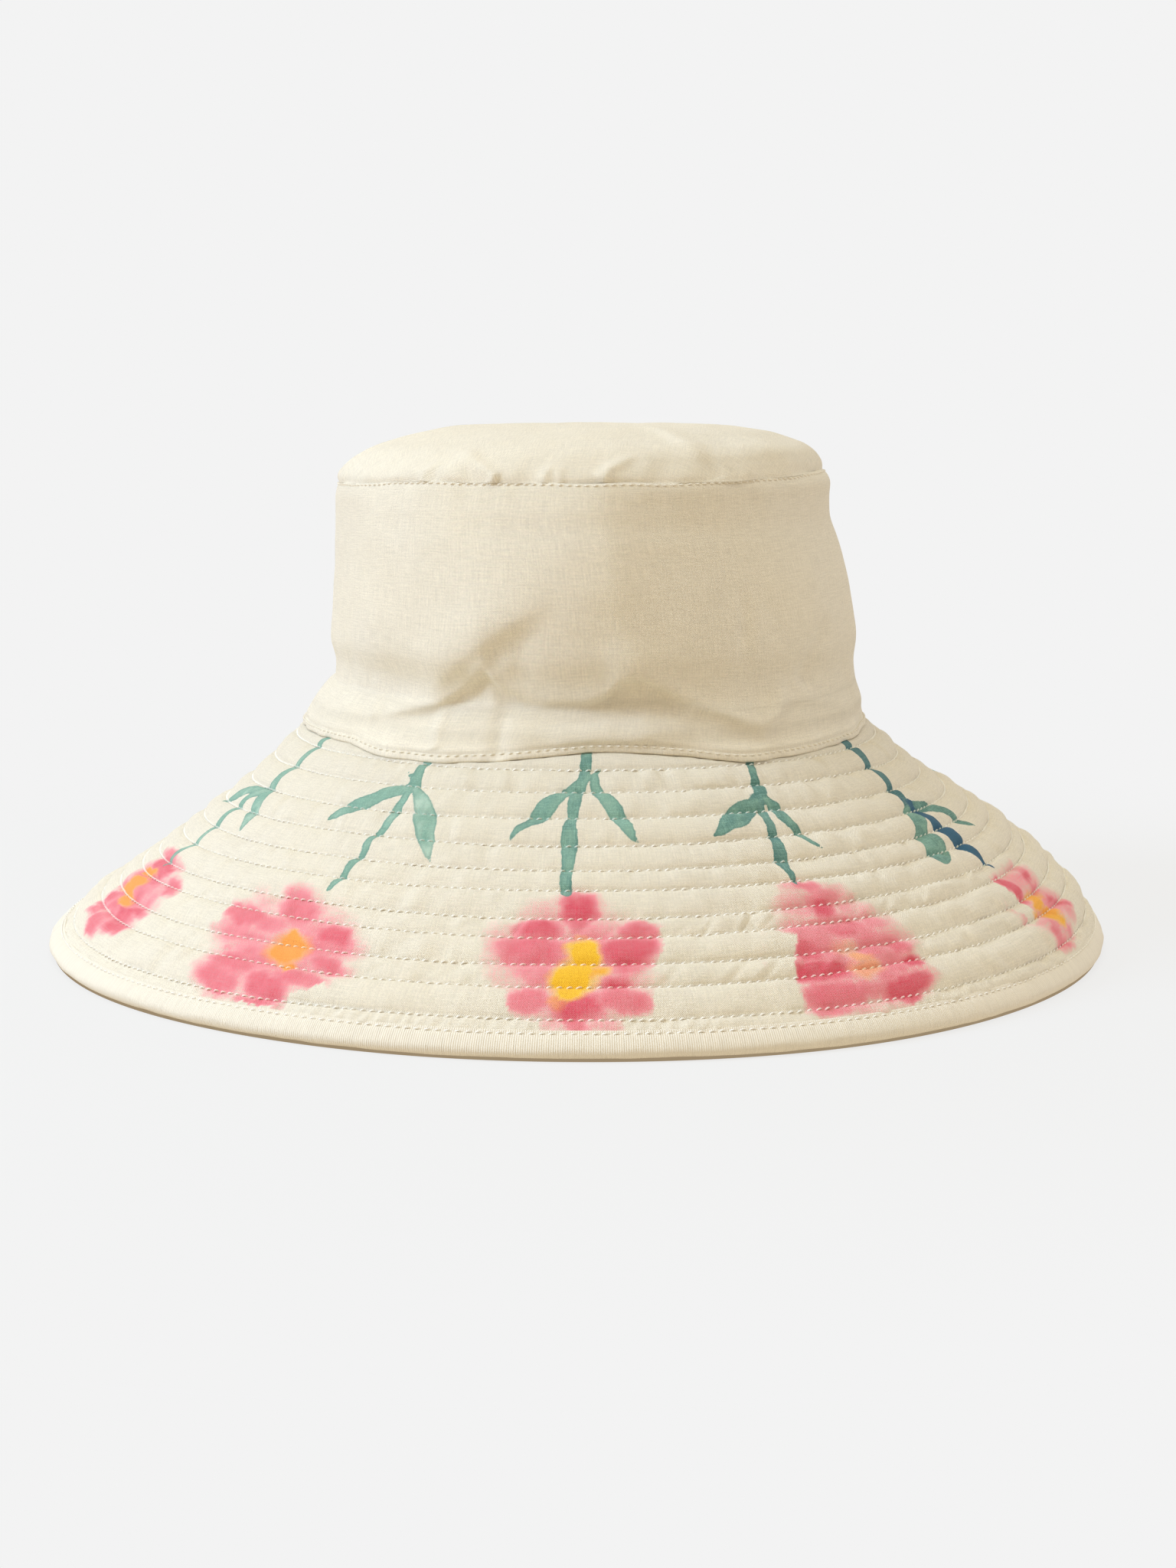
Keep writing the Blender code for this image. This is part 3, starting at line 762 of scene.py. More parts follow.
def thread_material(name, colour):
    """Twisted thread that takes a little of the paint it crosses."""
    sh, mm = cloth_shader(name)
    x, y, _ = sh.split(mm)
    twist = sh.math("SINE", sh.math("ADD", sh.math("MULTIPLY", x, 7.0), y))
    col = sh.mix(sh.math("MULTIPLY_ADD", twist, 0.12, 0.5), scale(colour, 0.86), colour)
    each = sh.noise(sh.scaled(mm, (0.0, 0.0, 9.0)), detail=1.0)
    col = sh.mix(sh.ramp(each, span=(0.35, 0.65), to=(0.0, 0.4)), col, scale(colour, 0.9))
    pink = sh.ramp(sh.attr("pink"), span=(0.1, 0.9), to=(0.0, 0.40))
    col = sh.mix(pink, col, linear(240, 150, 156))
    gold = sh.ramp(sh.attr("gold"), span=(0.2, 0.9), to=(0.0, 0.4))
    col = sh.mix(gold, col, linear(250, 196, 96))
    col = sh.mix(sh.math("MULTIPLY", sh.attr("leafy"), 0.36), col, linear(104, 164, 150))
    return sh.finish(col, rough=0.62, normal=sh.bump(twist, 0.00005), sheen=0.15, specular=0.35)


def binding_material(name, colour):
    """Ribbed cloth."""
    sh, mm = cloth_shader(name)
    rib = sh.stripes(sh.split(mm)[0], pitch=0.62)
    threads = sh.noise(sh.scaled(mm, (1.7, 0.12, 1.0)), detail=3.0, rough=0.6)
    fine = sh.noise(mm, scale=1.9, rough=0.6)
    height = sh.math("ADD", sh.math("MULTIPLY", rib, 0.30), sh.math("MULTIPLY", threads, 0.8))
    height = sh.math("ADD", height, sh.math("MULTIPLY", fine, 0.3))
    col = sh.mix(sh.ramp(threads, span=(0.3, 0.72)), scale(colour, 0.93), colour)
    return sh.finish(col, rough=0.84, normal=sh.bump(height, 0.00018))


def twill_material(name, colour):
    """Diagonal ribs."""
    sh, mm = cloth_shader(name)
    x, y, _ = sh.split(mm)
    rib = sh.stripes(sh.math("ADD", x, y), pitch=1.1)
    fine = sh.noise(mm, scale=1.6, rough=0.6)
    height = sh.math("ADD", sh.math("MULTIPLY", rib, 0.6), fine)
    col = sh.mix(sh.ramp(rib, span=(-1, 1)), scale(colour, 0.88), colour)
    return sh.finish(col, rough=0.8, normal=sh.bump(height, 0.00018), sheen=0.1)


def satin_material(name, colour):
    sh, mm = cloth_shader(name)
    rib = sh.stripes(sh.split(mm)[1], pitch=0.35)
    cloudy = sh.ramp(sh.noise(mm, scale=0.5), span=(0.3, 0.7))
    col = sh.mix(cloudy, scale(colour, 0.95), colour)
    return sh.finish(col, rough=0.38, normal=sh.bump(rib, 0.00003), sheen=0.0, specular=0.5)


CROWN_COTTON = cotton("crown_cotton", IVORY)
PRINTED = printed_cotton("brim_printed_cotton")
PLAIN = cotton("brim_plain_cotton", IVORY)
LINING = cotton("lining_cotton", (0.80, 0.75, 0.63), dark=0.9)
BINDING = binding_material("binding_cotton", (0.855, 0.790, 0.652))
WADDING = cotton("wadding_fibre", (0.78, 0.76, 0.70), depth=0.0004)
INTERLINING = cotton("interlining_cloth", (0.76, 0.75, 0.70))
TWILL = twill_material("sweatband_twill", (0.80, 0.74, 0.60))
THREAD = thread_material("thread_cotton", (0.96, 0.925, 0.83))
THREAD_DARK = thread_material("thread_crown", (0.88, 0.82, 0.68))
SATIN = satin_material("label_satin", (0.88, 0.87, 0.83))

# ---------------------------------------------------------------- meshes

SKIP = 4  # the hidden face of a sheet keeps every fourth row and column
SPARSE = np.s_[::SKIP, ::SKIP]


def build(name, verts, face_sets, attrs=None):
    """Smooth mesh object from vertices in millimetres and arrays of faces."""
    mesh = bpy.data.meshes.new(name)
    verts = np.asarray(verts, np.float64) * 0.001
    mesh.vertices.add(len(verts))
    mesh.vertices.foreach_set("co", verts.astype(np.float32).ravel())
    loops = np.concatenate([faces.ravel() for faces in face_sets]).astype(np.int32)
    sizes = np.concatenate([np.full(len(f), f.shape[1], np.int32) for f in face_sets])
    starts = np.concatenate([[0], np.cumsum(sizes)[:-1]]).astype(np.int32)
    mesh.loops.add(len(loops))
    mesh.loops.foreach_set("vertex_index", loops)
    mesh.polygons.add(len(sizes))
    mesh.polygons.foreach_set("loop_start", starts)
    mesh.polygons.foreach_set("use_smooth", np.full(len(sizes), True))
    mesh.update(calc_edges=True)
    for key, data in (attrs or {}).items():
        data = np.asarray(data, np.float32)
        kind, field = ("FLOAT_VECTOR", "vector") if data.ndim == 2 else ("FLOAT", "value")
        mesh.attributes.new(key, kind, "POINT").data.foreach_set(field, data.ravel())
    mesh.validate()
    obj = bpy.data.objects.new(name, mesh)
    bpy.context.scene.collection.objects.link(obj)
    return obj


def add_piece(obj, node, material):
    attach(obj, "hat")
    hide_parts(node)
    obj.data.materials.append(material)


def index_grid(rows, cols, ring, first=0):
    """Vertex numbers of a grid; a ring repeats its first column at the end."""
    grid = first + np.arange(rows * cols).reshape(rows, cols)
    return np.hstack([grid, grid[:, :1]]) if ring else grid


def grid_faces(grid):
    corners = [grid[:-1, :-1], grid[:-1, 1:], grid[1:, 1:], grid[1:, :-1]]
    return np.stack(corners, -1).reshape(-1, 4)


def rim_faces(fine, coarse, forward):
    """Polygons between a fine edge and a coarse one."""
    ratio = (len(fine) - 1) // (len(coarse) - 1)
    faces = []
    for j in range(len(coarse) - 1):
        run = list(fine[j * ratio : (j + 1) * ratio + 1])
        if forward:
            faces.append([coarse[j + 1], coarse[j]] + run)
        else:
            faces.append([coarse[j], coarse[j + 1]] + run[::-1])
    return np.array(faces)


def face_normal(verts, face):
    v = verts[face]
    return np.cross(v[1] - v[0], v[3] - v[0])


def shell(name, outer, inner, ring, mm, extra=None):
    """Closed sheet: a fine outer grid, an inner grid at most as fine, and rims between them.

    extra holds, by attribute, its outer grid and its single inner value.
    """
    rows, cols = outer.shape[:2]
    in_rows, in_cols = inner.shape[:2]
    row_skip = (rows - 1) // (in_rows - 1)
    col_skip = cols // in_cols if ring else (cols - 1) // (in_cols - 1)
    fine = index_grid(rows, cols, ring)
    coarse = index_grid(in_rows, in_cols, ring, rows * cols)
    faces = [
        grid_faces(fine),
        grid_faces(coarse)[:, ::-1],
        rim_faces(fine[0], coarse[0], False),
        rim_faces(fine[-1], coarse[-1], True),
    ]
    if not ring:
        faces.append(rim_faces(fine[:, 0], coarse[:, 0], True))
        faces.append(rim_faces(fine[:, -1], coarse[:, -1], False))
    verts = np.concatenate([outer.reshape(-1, 3), inner.reshape(-1, 3)])
    # turn the faces outwards, judged at the middle one
    middle = faces[0][len(faces[0]) // 2]
    row, col = divmod(middle[0], cols)
    across = inner[min(row // row_skip, in_rows - 1), min(col // col_skip, in_cols - 1)]
    if np.dot(face_normal(verts, middle), outer[row, col] - across) < 0:
        faces = [f[:, ::-1] for f in faces]
    inner_mm = mm[::row_skip, ::col_skip]
    attrs = {"mm": np.concatenate([mm.reshape(-1, 3), inner_mm.reshape(-1, 3)])}
    for key, (grid, value) in (extra or {}).items():
        attrs[key] = np.concatenate([grid.ravel(), np.full(in_rows * in_cols, value)])
    return build(name, verts, faces, attrs)


def disc(name, top, inner, mm, inner_mm):
    """Closed disc: polar grids with their middles capped."""
    rows, cols = top.shape[:2]
    in_rows, in_cols = inner.shape[:2]
    verts = np.concatenate(
        [top.reshape(-1, 3), inner.reshape(-1, 3), [top[-1].mean(0)], [inner[-1].mean(0)]]
    )
    top_centre, inner_centre = len(verts) - 2, len(verts) - 1
    fine = index_grid(rows, cols, True)
    coarse = index_grid(in_rows, in_cols, True, rows * cols)
    faces = [
        grid_faces(fine),
        grid_faces(coarse)[:, ::-1],
        rim_faces(fine[0], coarse[0], False),
        np.stack([fine[-1, :-1], fine[-1, 1:], np.full(cols, top_centre)], -1),
        np.stack([coarse[-1, 1:], coarse[-1, :-1], np.full(in_cols, inner_centre)], -1),
    ]
    if face_normal(verts, faces[0][len(faces[0]) // 2])[2] < 0:
        faces = [f[:, ::-1] for f in faces]
    flat = np.concatenate([mm.reshape(-1, 3), inner_mm.reshape(-1, 3), np.zeros((2, 3))])
    return build(name, verts, faces, {"mm": flat})


def cloth_mm(x, y):
    """Cloth coordinates from two arrays in millimetres."""
    x, y = np.broadcast_arrays(x, y)
    return np.stack([x, y, np.zeros(x.shape)], -1)


def ring_angles(count):
    return np.arange(count) * TURN / count - PI


def half_angles(half, count):
    start = -PI / 2 if half == "front" else PI / 2
    return np.linspace(start, start + PI, count)


def unit(vectors):
    return vectors / np.linalg.norm(vectors, axis=-1, keepdims=True)


STITCH_SIDES, STITCH_RINGS = 6, 6


def sew(name, node, sets, material=THREAD, thick=0.25, dye=None):
    """Rows of thread. Each set gives where(t, lift) -> points, then per row the stitch
    centres and half lengths in t, the lift of their middles and the dive of their ends.
    dye holds, by attribute, one value per stitch for every set."""
    verts, faces, twist = [], [], []
    size = STITCH_RINGS * STITCH_SIDES
    q = np.linspace(-1, 1, STITCH_RINGS)
    turned = np.arange(STITCH_SIDES) * TURN / STITCH_SIDES
    radius = (thick * np.clip(1.06 - 0.42 * np.abs(q) ** 4, 0.3, 1.2))[None, :, None, None]
    tube = grid_faces(index_grid(STITCH_RINGS, STITCH_SIDES, True))
    count = 0
    for where, centres, half, lift, dive in sets:
        t = centres[:, None] + half[:, None] * q[None, :]
        height = (lift + dive) * (1 - np.abs(q) ** 2.6) - dive + 0 * t
        middle = where(t, height)
        up = unit(where(t, height + 0.5) - middle)
        tangent = unit(np.gradient(middle, axis=1))
        side = unit(np.cross(up, tangent))
        up = np.cross(tangent, side)
        spoke = (
            np.cos(turned)[None, None, :, None] * side[:, :, None, :]
            + np.sin(turned)[None, None, :, None] * up[:, :, None, :]
        )
        verts.append((middle[:, :, None, :] + radius * spoke).reshape(-1, 3))
        number = np.arange(len(centres))[:, None, None]
        first = count + number * size
        faces.append((first + tube).reshape(-1, 4))
        faces.append(first[:, 0] + np.arange(STITCH_SIDES)[::-1])
        faces.append(first[:, 0] + size - STITCH_SIDES + np.arange(STITCH_SIDES))
        along = q[None, :, None] * half[:, None, None] * 100
        coords = np.broadcast_arrays(along, turned[None, None, :], number * 0.37)
        twist.append(np.stack(coords, -1).reshape(-1, 3))
        count += len(centres) * size
    attrs = {"mm": np.concatenate(twist)}
    for key, values in (dye or {}).items():
        attrs[key] = np.concatenate([np.repeat(v, size) for v in values])
    add_piece(build(name, np.concatenate(verts), faces, attrs), node, material)


def stitch_row(radius, pitch, seed):
    """Angles and half lengths (radians) of stitches round a row of this radius."""
    n = max(3, int(round(TURN * float(radius) * 1.02 / pitch)))
    rng = np.random.default_rng(seed)
    centres = (np.arange(n) + rng.uniform(-0.05, 0.05, n) + rng.uniform(0, 1)) * TURN / n - PI
    return centres, (0.345 + rng.uniform(-0.03, 0.03, n)) * TURN / n


# ---------------------------------------------------------------- painted flowers

# Places are (x, down) in mm, x measured from the motif's axis.
#   pale     added to the tone of every stroke        wash   strength of all the pink
#   strokes  [(x, down, half width), ...], tone, blueness
#   blobs    petals: x, down, two half axes, tilt in degrees, strength, softness
#   halo     faint pink round the flower: x, down, two half axes, strength
#   cuts     x, down, x, down: lines with an 8 mm strip bare of pink along one side
#   golds    centres: x, down, two half axes, tilt in degrees, strength, hue
MOTIFS = {
    "centre": dict(
        pale=0.4,
        strokes=[
            ([(0.6, -5.3, 1.5), (0.2, 1.2, 1.7), (0.0, 5.5, 1.6), (-0.6, 9.5, 1.6),
              (-1.3, 11.5, 1.5)], 0.15, 0),
            ([(1.1, 7.5, 1.3), (-2.2, 11.8, 1.9), (-6.0, 15.5, 1.9), (-10.3, 20.0, 2.9),
              (-13.0, 24.2, 2.7), (-15.9, 27.4, 1.3), (-18.8, 30.3, 1.1), (-21.3, 34.1, 0.2)],
             0.35, 0),
            ([(4.6, 4.4, 0.2), (2.7, 6.9, 1.0), (2.9, 10.3, 1.4), (3.6, 13.6, 1.7),
              (6.1, 17.8, 2.3), (8.3, 21.6, 2.5), (9.8, 24.7, 2.2), (11.3, 27.9, 2.0),
              (12.9, 31.3, 1.5), (13.8, 33.2, 0.8), (15.3, 34.2, 0.2)], 0.55, 0),
            ([(-0.3, 10.6, 1.1), (-1.5, 14.5, 1.3), (-2.7, 18.0, 1.9), (-3.2, 22.1, 1.8),
              (-3.4, 25.2, 1.4), (-4.3, 28.1, 1.9), (-4.4, 32.6, 2.5), (-4.3, 35.5, 2.2),
              (-4.5, 39.8, 2.0), (-4.7, 44.8, 1.7), (-4.9, 49.0, 1.7), (-4.9, 53.0, 1.6)],
             0.3, 0),
        ],
        blobs=[
            (-1.0, 58.2, 4.9, 4.9, 89, 1.0, 0.36), (-1.0, 63.5, 3.4, 2.5, 89, 0.80, 0.5),
            (-8.3, 59.7, 6.0, 3.3, 5, 0.22, 0.83), (-11.8, 65.8, 6.2, 3.3, -6, 0.95, 0.42),
            (-13.5, 73.1, 9.5, 5.0, -1, 0.8, 0.42), (-23.6, 73.4, 6.9, 3.0, 81, 0.22, 0.86),
            (-12.8, 81.2, 6.1, 3.4, 4, 0.5, 0.62), (-13.8, 90.2, 5.6, 4.3, -1, 0.68, 0.29),
            (-1.3, 92.1, 6.2, 4.3, -14, 1.0, 0.35), (-1.4, 97.6, 3.0, 2.8, 84, 0.6, 0.5),
            (11.0, 90.0, 7.1, 3.8, 14, 0.72, 0.27), (8.3, 84.5, 3.7, 2.1, 1, 0.95, 0.62),
            (12.8, 73.6, 7.6, 5.0, -8, 0.95, 0.26), (15.1, 66.2, 5.1, 2.7, 2, 0.8, 0.5),
            (12.5, 79.4, 4.6, 2.0, -9, 0.65, 0.66), (21.5, 72.9, 4.8, 2.6, -90, 0.2, 0.83),
            (-6.8, 92.6, 4.1, 2.6, 59, 0.5, 0.67), (-8.7, 97.4, 3.3, 2.5, 16, 0.25, 0.6),
            (6.3, 97.4, 3.7, 2.5, 13, 0.3, 0.6),
        ],
        halo=(-1.4, 77.4, 24.0, 21.5, 0.27),
        cuts=[
            (21.1, 66.0, 21.6, 74.5), (21.6, 74.5, 18.9, 79.4), (19.6, 86.0, 18.7, 94.8),
            (19.2, 94.9, 12.0, 95.4), (-12.0, 95.6, -19.6, 95.1), (-19.6, 95.4, -20.4, 87.0),
        ],
        golds=[
            (0.1, 74.6, 5.2, 4.3, 89, 1.0, 0.0), (-2.8, 82.6, 5.8, 5.3, -68, 1, 0),
            (-3.2, 87.3, 3.5, 2.8, -18, 0.85, 0), (4.0, 80.3, 3.6, 2.0, -17, 0.7, 0.25),
            (-6.4, 91.1, 3.0, 2.2, -67, 0.45, 0.4),
        ],
    ),
    "left": dict(
        pale=0.65,
        wash=0.89,
        strokes=[
            ([(-0.6, -4, 1.2), (-0.9, 2.9, 1.4), (-1.5, 6.3, 1.4), (-0.7, 10.5, 1.6),
              (-0.1, 13.0, 1.5), (0.3, 15.1, 1.6)], 0.2, 0),
            ([(0.1, 14.4, 1.6), (-1.6, 15.8, 2.6), (-3.9, 17.0, 3.1), (-7.2, 18.8, 3.0),
              (-9.6, 21.2, 2.4), (-13.5, 23.6, 2.4), (-16.3, 25.6, 3.0), (-19.1, 27.8, 2.3),
              (-20.8, 29.7, 1.4), (-22.4, 31.6, 0.2)], 0.35, 0),
            ([(-4.4, 9.6, 0.2), (-1.6, 12.2, 0.9), (0.0, 14.0, 1.2)], 0.2, 0),
            ([(0.4, 14.7, 1.2), (3.5, 18.3, 1.5), (6.5, 21.8, 2.5), (9.6, 26.3, 3.1),
              (12.1, 30.2, 3.2), (13.5, 33.4, 2.8), (15.9, 37.2, 1.9), (18.0, 40.3, 1.1),
              (19.5, 42.6, 0.2)], 0.75, 0),
            ([(-0.2, 16.9, 1.1), (0.1, 21.1, 1.45), (-0.9, 24.4, 1.6), (-0.5, 28.1, 1.7),
              (-0.4, 32.1, 1.4), (-1.6, 34.4, 1.1), (-2.8, 37.7, 1.3), (-2.5, 41.2, 1.2),
              (-2.9, 43.6, 1.0), (-3.8, 46.7, 1.5), (-4.0, 50.5, 1.1), (-5.3, 53.4, 1.1),
              (-5.9, 57.0, 0.8)], 0.45, 0),
        ],
        blobs=[
            (-12.6, 65.0, 7.8, 4.8, 41, 0.80, 0.40), (-4.9, 65.2, 6.4, 2.2, 44, 0.3, 0.9),
            (-25.8, 64.3, 6.1, 2.4, 23, 0.25, 0.83), (-28.6, 70.6, 9.3, 3.8, 12, 0.85, 0.24),
            (-19.6, 72.2, 7.0, 3.0, 9, 0.72, 0.5), (-9.5, 70.7, 5.0, 2.8, 3, 0.45, 0.83),
            (-27.7, 76.9, 9.4, 3.2, 7, 0.55, 0.47), (-19.6, 81.9, 5.7, 1.5, -1, 0.75, 0.86),
            (-23.2, 86.8, 8.9, 3.2, 4, 0.85, 0.33), (-26.1, 92.8, 7.7, 3.6, 11, 0.85, 0.28),
            (-8.2, 92.4, 7.6, 3.8, 13, 0.95, 0.23), (-9.0, 97.6, 6.4, 1.5, 0, 0.85, 0.51),
            (-0.6, 88.5, 8.0, 2.8, 9, 0.8, 0.5), (6.1, 89.6, 4.5, 2.2, -1, 0.7, 0.5),
            (4.8, 73.0, 6.9, 3.2, 19, 1.0, 0.35), (6.3, 77.8, 6.8, 2.3, -2, 0.6, 0.6),
            (7.1, 82.8, 6.3, 2.3, 6, 0.85, 0.45), (1.4, 92.1, 5.5, 2.1, 41, 0.25, 0.83),
            (-22.8, 97.5, 4.3, 1.4, 3, 0.35, 0.86),
        ],
        halo=(-11.0, 79.5, 27.5, 20.5, 0.46),
        cuts=[(-37.9, 74.4, -38.4, 66.0), (9.8, 89.7, 1.0, 95.2), (-3.0, 98.8, -16.8, 98.4)],
        golds=[
            (-7.7, 79.3, 6.4, 4.7, -5, 1, 0.5), (-6.9, 75.1, 3.6, 1.8, 33, 0.9, 0.45),
            (-5.0, 85.0, 2.9, 1.4, 12, 0.8, 0.5),
        ],
    ),
    "right": dict(
        strokes=[
            ([(5.4, -4, 1.1), (4.8, 3.2, 1.3), (3.6, 6.0, 1.35), (2.2, 10.2, 1.3),
              (1.8, 13.1, 1.6), (1.2, 16.0, 2.1), (0.2, 18.7, 1.9)], 0.15, 0),
            ([(0.0, 18.7, 1.1), (-3.2, 18.7, 0.6), (-5.0, 18.2, 0.2)], 0.2, 0),
            ([(-1.8, 20.4, 1.2), (-4.7, 22.2, 2.1), (-7.6, 24.2, 3.4), (-11.4, 26.9, 3.7),
              (-15.3, 29.2, 2.6), (-18.9, 31.9, 1.4), (-21.9, 33.7, 0.2)], 0.45, 0),
            ([(1.0, 20.0, 1.3), (1.9, 21.9, 1.4), (3.0, 24.4, 2.1), (3.1, 27.7, 2.1),
              (3.9, 30.1, 1.7), (5.1, 32.2, 1.5), (6.2, 35.8, 1.3), (7.2, 38.4, 0.9),
              (8.5, 40.2, 0.8), (10.4, 41.7, 0.2)], 0.55, 0),
            ([(-0.2, 18.7, 1.2), (-1.1, 21.8, 1.3), (-1.7, 24.9, 1.45), (-2.2, 28.2, 1.4),
              (-2.3, 31.0, 1.6), (-3.0, 33.8, 1.6), (-3.6, 36.5, 1.5), (-3.9, 38.9, 1.9),
              (-4.5, 42.5, 2.2), (-5.4, 45.7, 1.9), (-5.3, 47.9, 1.2), (-4.6, 50.6, 1.0),
              (-4.6, 53.6, 0.4)], 0.35, 0.1),
        ],
        blobs=[
            (-2.0, 54.7, 3.6, 1.8, 15, 0.7, 0.57), (-7.2, 54.5, 3.1, 1.8, -5, 0.35, 0.9),
            (-0.3, 62.6, 4.4, 3.2, -65, 1.0, 0.4), (-0.0, 59.6, 6.2, 2.9, -13, 0.6, 0.57),
            (-8.6, 60.8, 6.0, 3.7, 0, 0.35, 0.5), (7.2, 63.7, 4.0, 2.4, -88, 0.35, 0.9),
            (-11.3, 70.2, 4.9, 1.8, -10, 0.5, 0.78), (1.0, 71.2, 6.3, 2.5, 5, 0.8, 0.55),
            (5.2, 69.1, 2.7, 2.1, 57, 0.75, 0.5), (12.4, 70.7, 3.9, 2.2, 15, 0.55, 0.78),
            (-5.8, 69.3, 3.0, 2.5, 83, 0.35, 0.8), (-12.6, 76.4, 5.2, 3.4, 12, 0.85, 0.31),
            (-5.5, 76.5, 5.3, 2.6, -3, 0.5, 0.67), (11.2, 76.8, 8.7, 2.7, 5, 0.5, 0.67),
            (16.9, 79.8, 3.3, 1.9, 17, 0.75, 0.5), (10.5, 79.6, 2.3, 2.0, 20, 0.5, 0.5),
            (-13.1, 83.9, 9.6, 3.5, 4, 1.0, 0.2), (11.1, 85.8, 3.5, 3.0, 20, 0.65, 0.42),
            (18.2, 85.3, 3.7, 2.2, 6, 1.0, 0.3), (-11.4, 92.2, 10.6, 3.7, 1, 0.78, 0.28),
            (0.9, 91.7, 6.3, 3.0, 7, 0.55, 0.57), (11.3, 93.1, 9.1, 3.3, -8, 0.98, 0.21),
            (11.6, 96.2, 3.4, 1.5, -12, 0.9, 0.5), (-15.0, 96.3, 6.2, 1.7, 3, 0.6, 0.5),
        ],
        halo=(-0.4, 80.2, 24.5, 22.5, 0.40),
        cuts=[(-17.7, 79.6, -14.3, 71.8), (-21.4, 87.6, -17.7, 79.6), (-22.4, 98.0, -20.8, 87.8)],
        golds=[
            (2.0, 84.8, 5.2, 2.9, -7, 0.8, 0.95), (2.7, 81.1, 3.9, 1.5, 5, 0.55, 0.7),
            (-0.8, 77.8, 4.6, 2.8, 11, 0.35, 0.9),
        ],
    ),
    "far_left": dict(
        pale=1.0,
        strokes=[
            ([(-0.5, -4, 1.6), (-0.9, 4, 1.7), (-0.4, 11, 1.7), (-1.3, 18.0, 1.9),
              (0.0, 26.0, 2.3)], 0.1, 0),
            ([(0.0, 26.0, 1.95), (-6.0, 26.8, 1.95), (-12.5, 28.2, 2.73), (-17.5, 30.6, 2.60),
              (-22.1, 33.2, 1.43), (-29.2, 36.0, 0.30)], 0.2, 0),
            ([(0.6, 26.3, 1.95), (2.4, 29.6, 2.60), (4.9, 33.4, 2.73), (7.3, 36.4, 2.08),
              (8.5, 38.6, 1.56), (9.3, 41.6, 0.65)], 0.4, 0),
            ([(-1.0, 26.7, 1.9), (-5.4, 30.3, 1.9), (-7.0, 34.5, 1.8), (-8.9, 38.5, 2.0),
              (-8.3, 44.6, 1.8), (-8.9, 52.4, 1.8), (-11.0, 57.5, 1.7), (-11.6, 62.9, 1.1)],
             0.1, 0),
        ],
        blobs=[
            (-14.5, 63.2, 7.8, 2.9, -1, 0.85, 0.32), (-6.6, 63.2, 4.8, 1.5, 3, 0.9, 0.5),
            (-9.4, 65.6, 6.8, 1.6, -1, 0.85, 0.5), (-15.1, 59.4, 6.9, 1.5, 1, 0.7, 0.8),
            (-2.9, 61.7, 3.7, 1.7, 6, 0.4, 0.9), (-10.4, 69.2, 7.0, 1.6, -1, 0.75, 0.5),
            (6.1, 67.3, 4.8, 2.7, 7, 0.75, 0.47), (8.3, 70.3, 3.4, 1.5, -2, 0.7, 0.75),
            (-2.2, 74.1, 7.4, 2.3, 1, 0.4, 0.67), (-29.5, 75.4, 5.6, 1.8, -5, 0.6, 0.67),
            (-28.7, 81.2, 6.6, 2.4, -16, 0.85, 0.51), (-27.7, 84.9, 6.7, 1.5, -3, 0.7, 0.5),
            (-16.9, 82.0, 7.0, 2.4, -9, 0.75, 0.5), (-5.3, 81.2, 6.7, 1.8, -5, 0.95, 0.37),
            (2.4, 79.7, 5.6, 1.5, 8, 0.9, 0.49), (-3.6, 83.8, 6.8, 2.6, -6, 0.85, 0.38),
            (-0.1, 87.5, 6.8, 2.1, -6, 0.85, 0.43), (-27.3, 88.0, 5.9, 1.5, -12, 0.7, 0.71),
            (-14.8, 89.3, 6.8, 2.6, -2, 0.7, 0.31), (-12.7, 91.8, 5.4, 1.9, 5, 0.75, 0.42),
            (4.0, 76.2, 6.6, 1.8, 4, 0.25, 0.71),
        ],
        halo=(-13.0, 76.8, 24.0, 17.5, 0.50),
        cuts=[],
        golds=[
            (-19.1, 67.5, 7.2, 1.5, -2, 0.9, 0.6), (-20.3, 71.5, 7.2, 1.5, -6, 1, 0.6),
            (-22.6, 74.8, 7.1, 2.1, -9, 1, 0.6), (-16.8, 76.7, 7.0, 1.5, 1, 1, 0.6),
            (-13.2, 79.1, 6.9, 1.7, -6, 0.9, 0.6),
        ],
    ),
    "far_right": dict(
        strokes=[
            ([(7.3, -4, 2.3), (5.0, 4.0, 2.4), (3.4, 12.0, 2.4), (2.8, 19.1, 2.6),
              (2.2, 25.0, 2.4), (1.0, 29.3, 2.5), (0.0, 32.4, 2.2)], 0.05, 0.42),
            ([(0.8, 32.7, 1.65), (7.0, 34.0, 2.10), (13.3, 36.4, 2.85), (17.2, 39.2, 2.55),
              (20.1, 42.5, 2.25), (22.4, 45.9, 1.80), (25.8, 49.8, 0.20)], 0.25, 0),
            ([(0.1, 30.0, 2.00), (2.9, 33.8, 2.90), (3.4, 37.8, 2.90), (4.2, 40.6, 3.40),
              (4.2, 44.1, 4.20), (4.2, 48.0, 3.30), (4.9, 50.6, 3.30), (5.8, 54.6, 2.40),
              (7.7, 59.3, 1.90), (9.6, 63.6, 0.60)], 0.1, 1.0),
            ([(-0.1, 33.2, 2.25), (-2.9, 37.2, 3.45), (-6.0, 41.0, 3.00), (-7.8, 44.2, 3.45),
              (-8.2, 47.5, 5.40), (-9.5, 50.7, 4.95), (-12.6, 53.6, 3.60), (-14.2, 56.2, 0.90)],
             0.55, 0),
        ],
        blobs=[
            (6.2, 70.6, 4.3, 3.2, 23, 1.0, 0.37), (6.5, 73.9, 3.7, 2.5, -17, 1.0, 0.36),
            (2.8, 67.6, 3.0, 1.2, 0, 0.8, 0.5), (20.6, 72.6, 3.7, 1.6, -24, 0.95, 0.51),
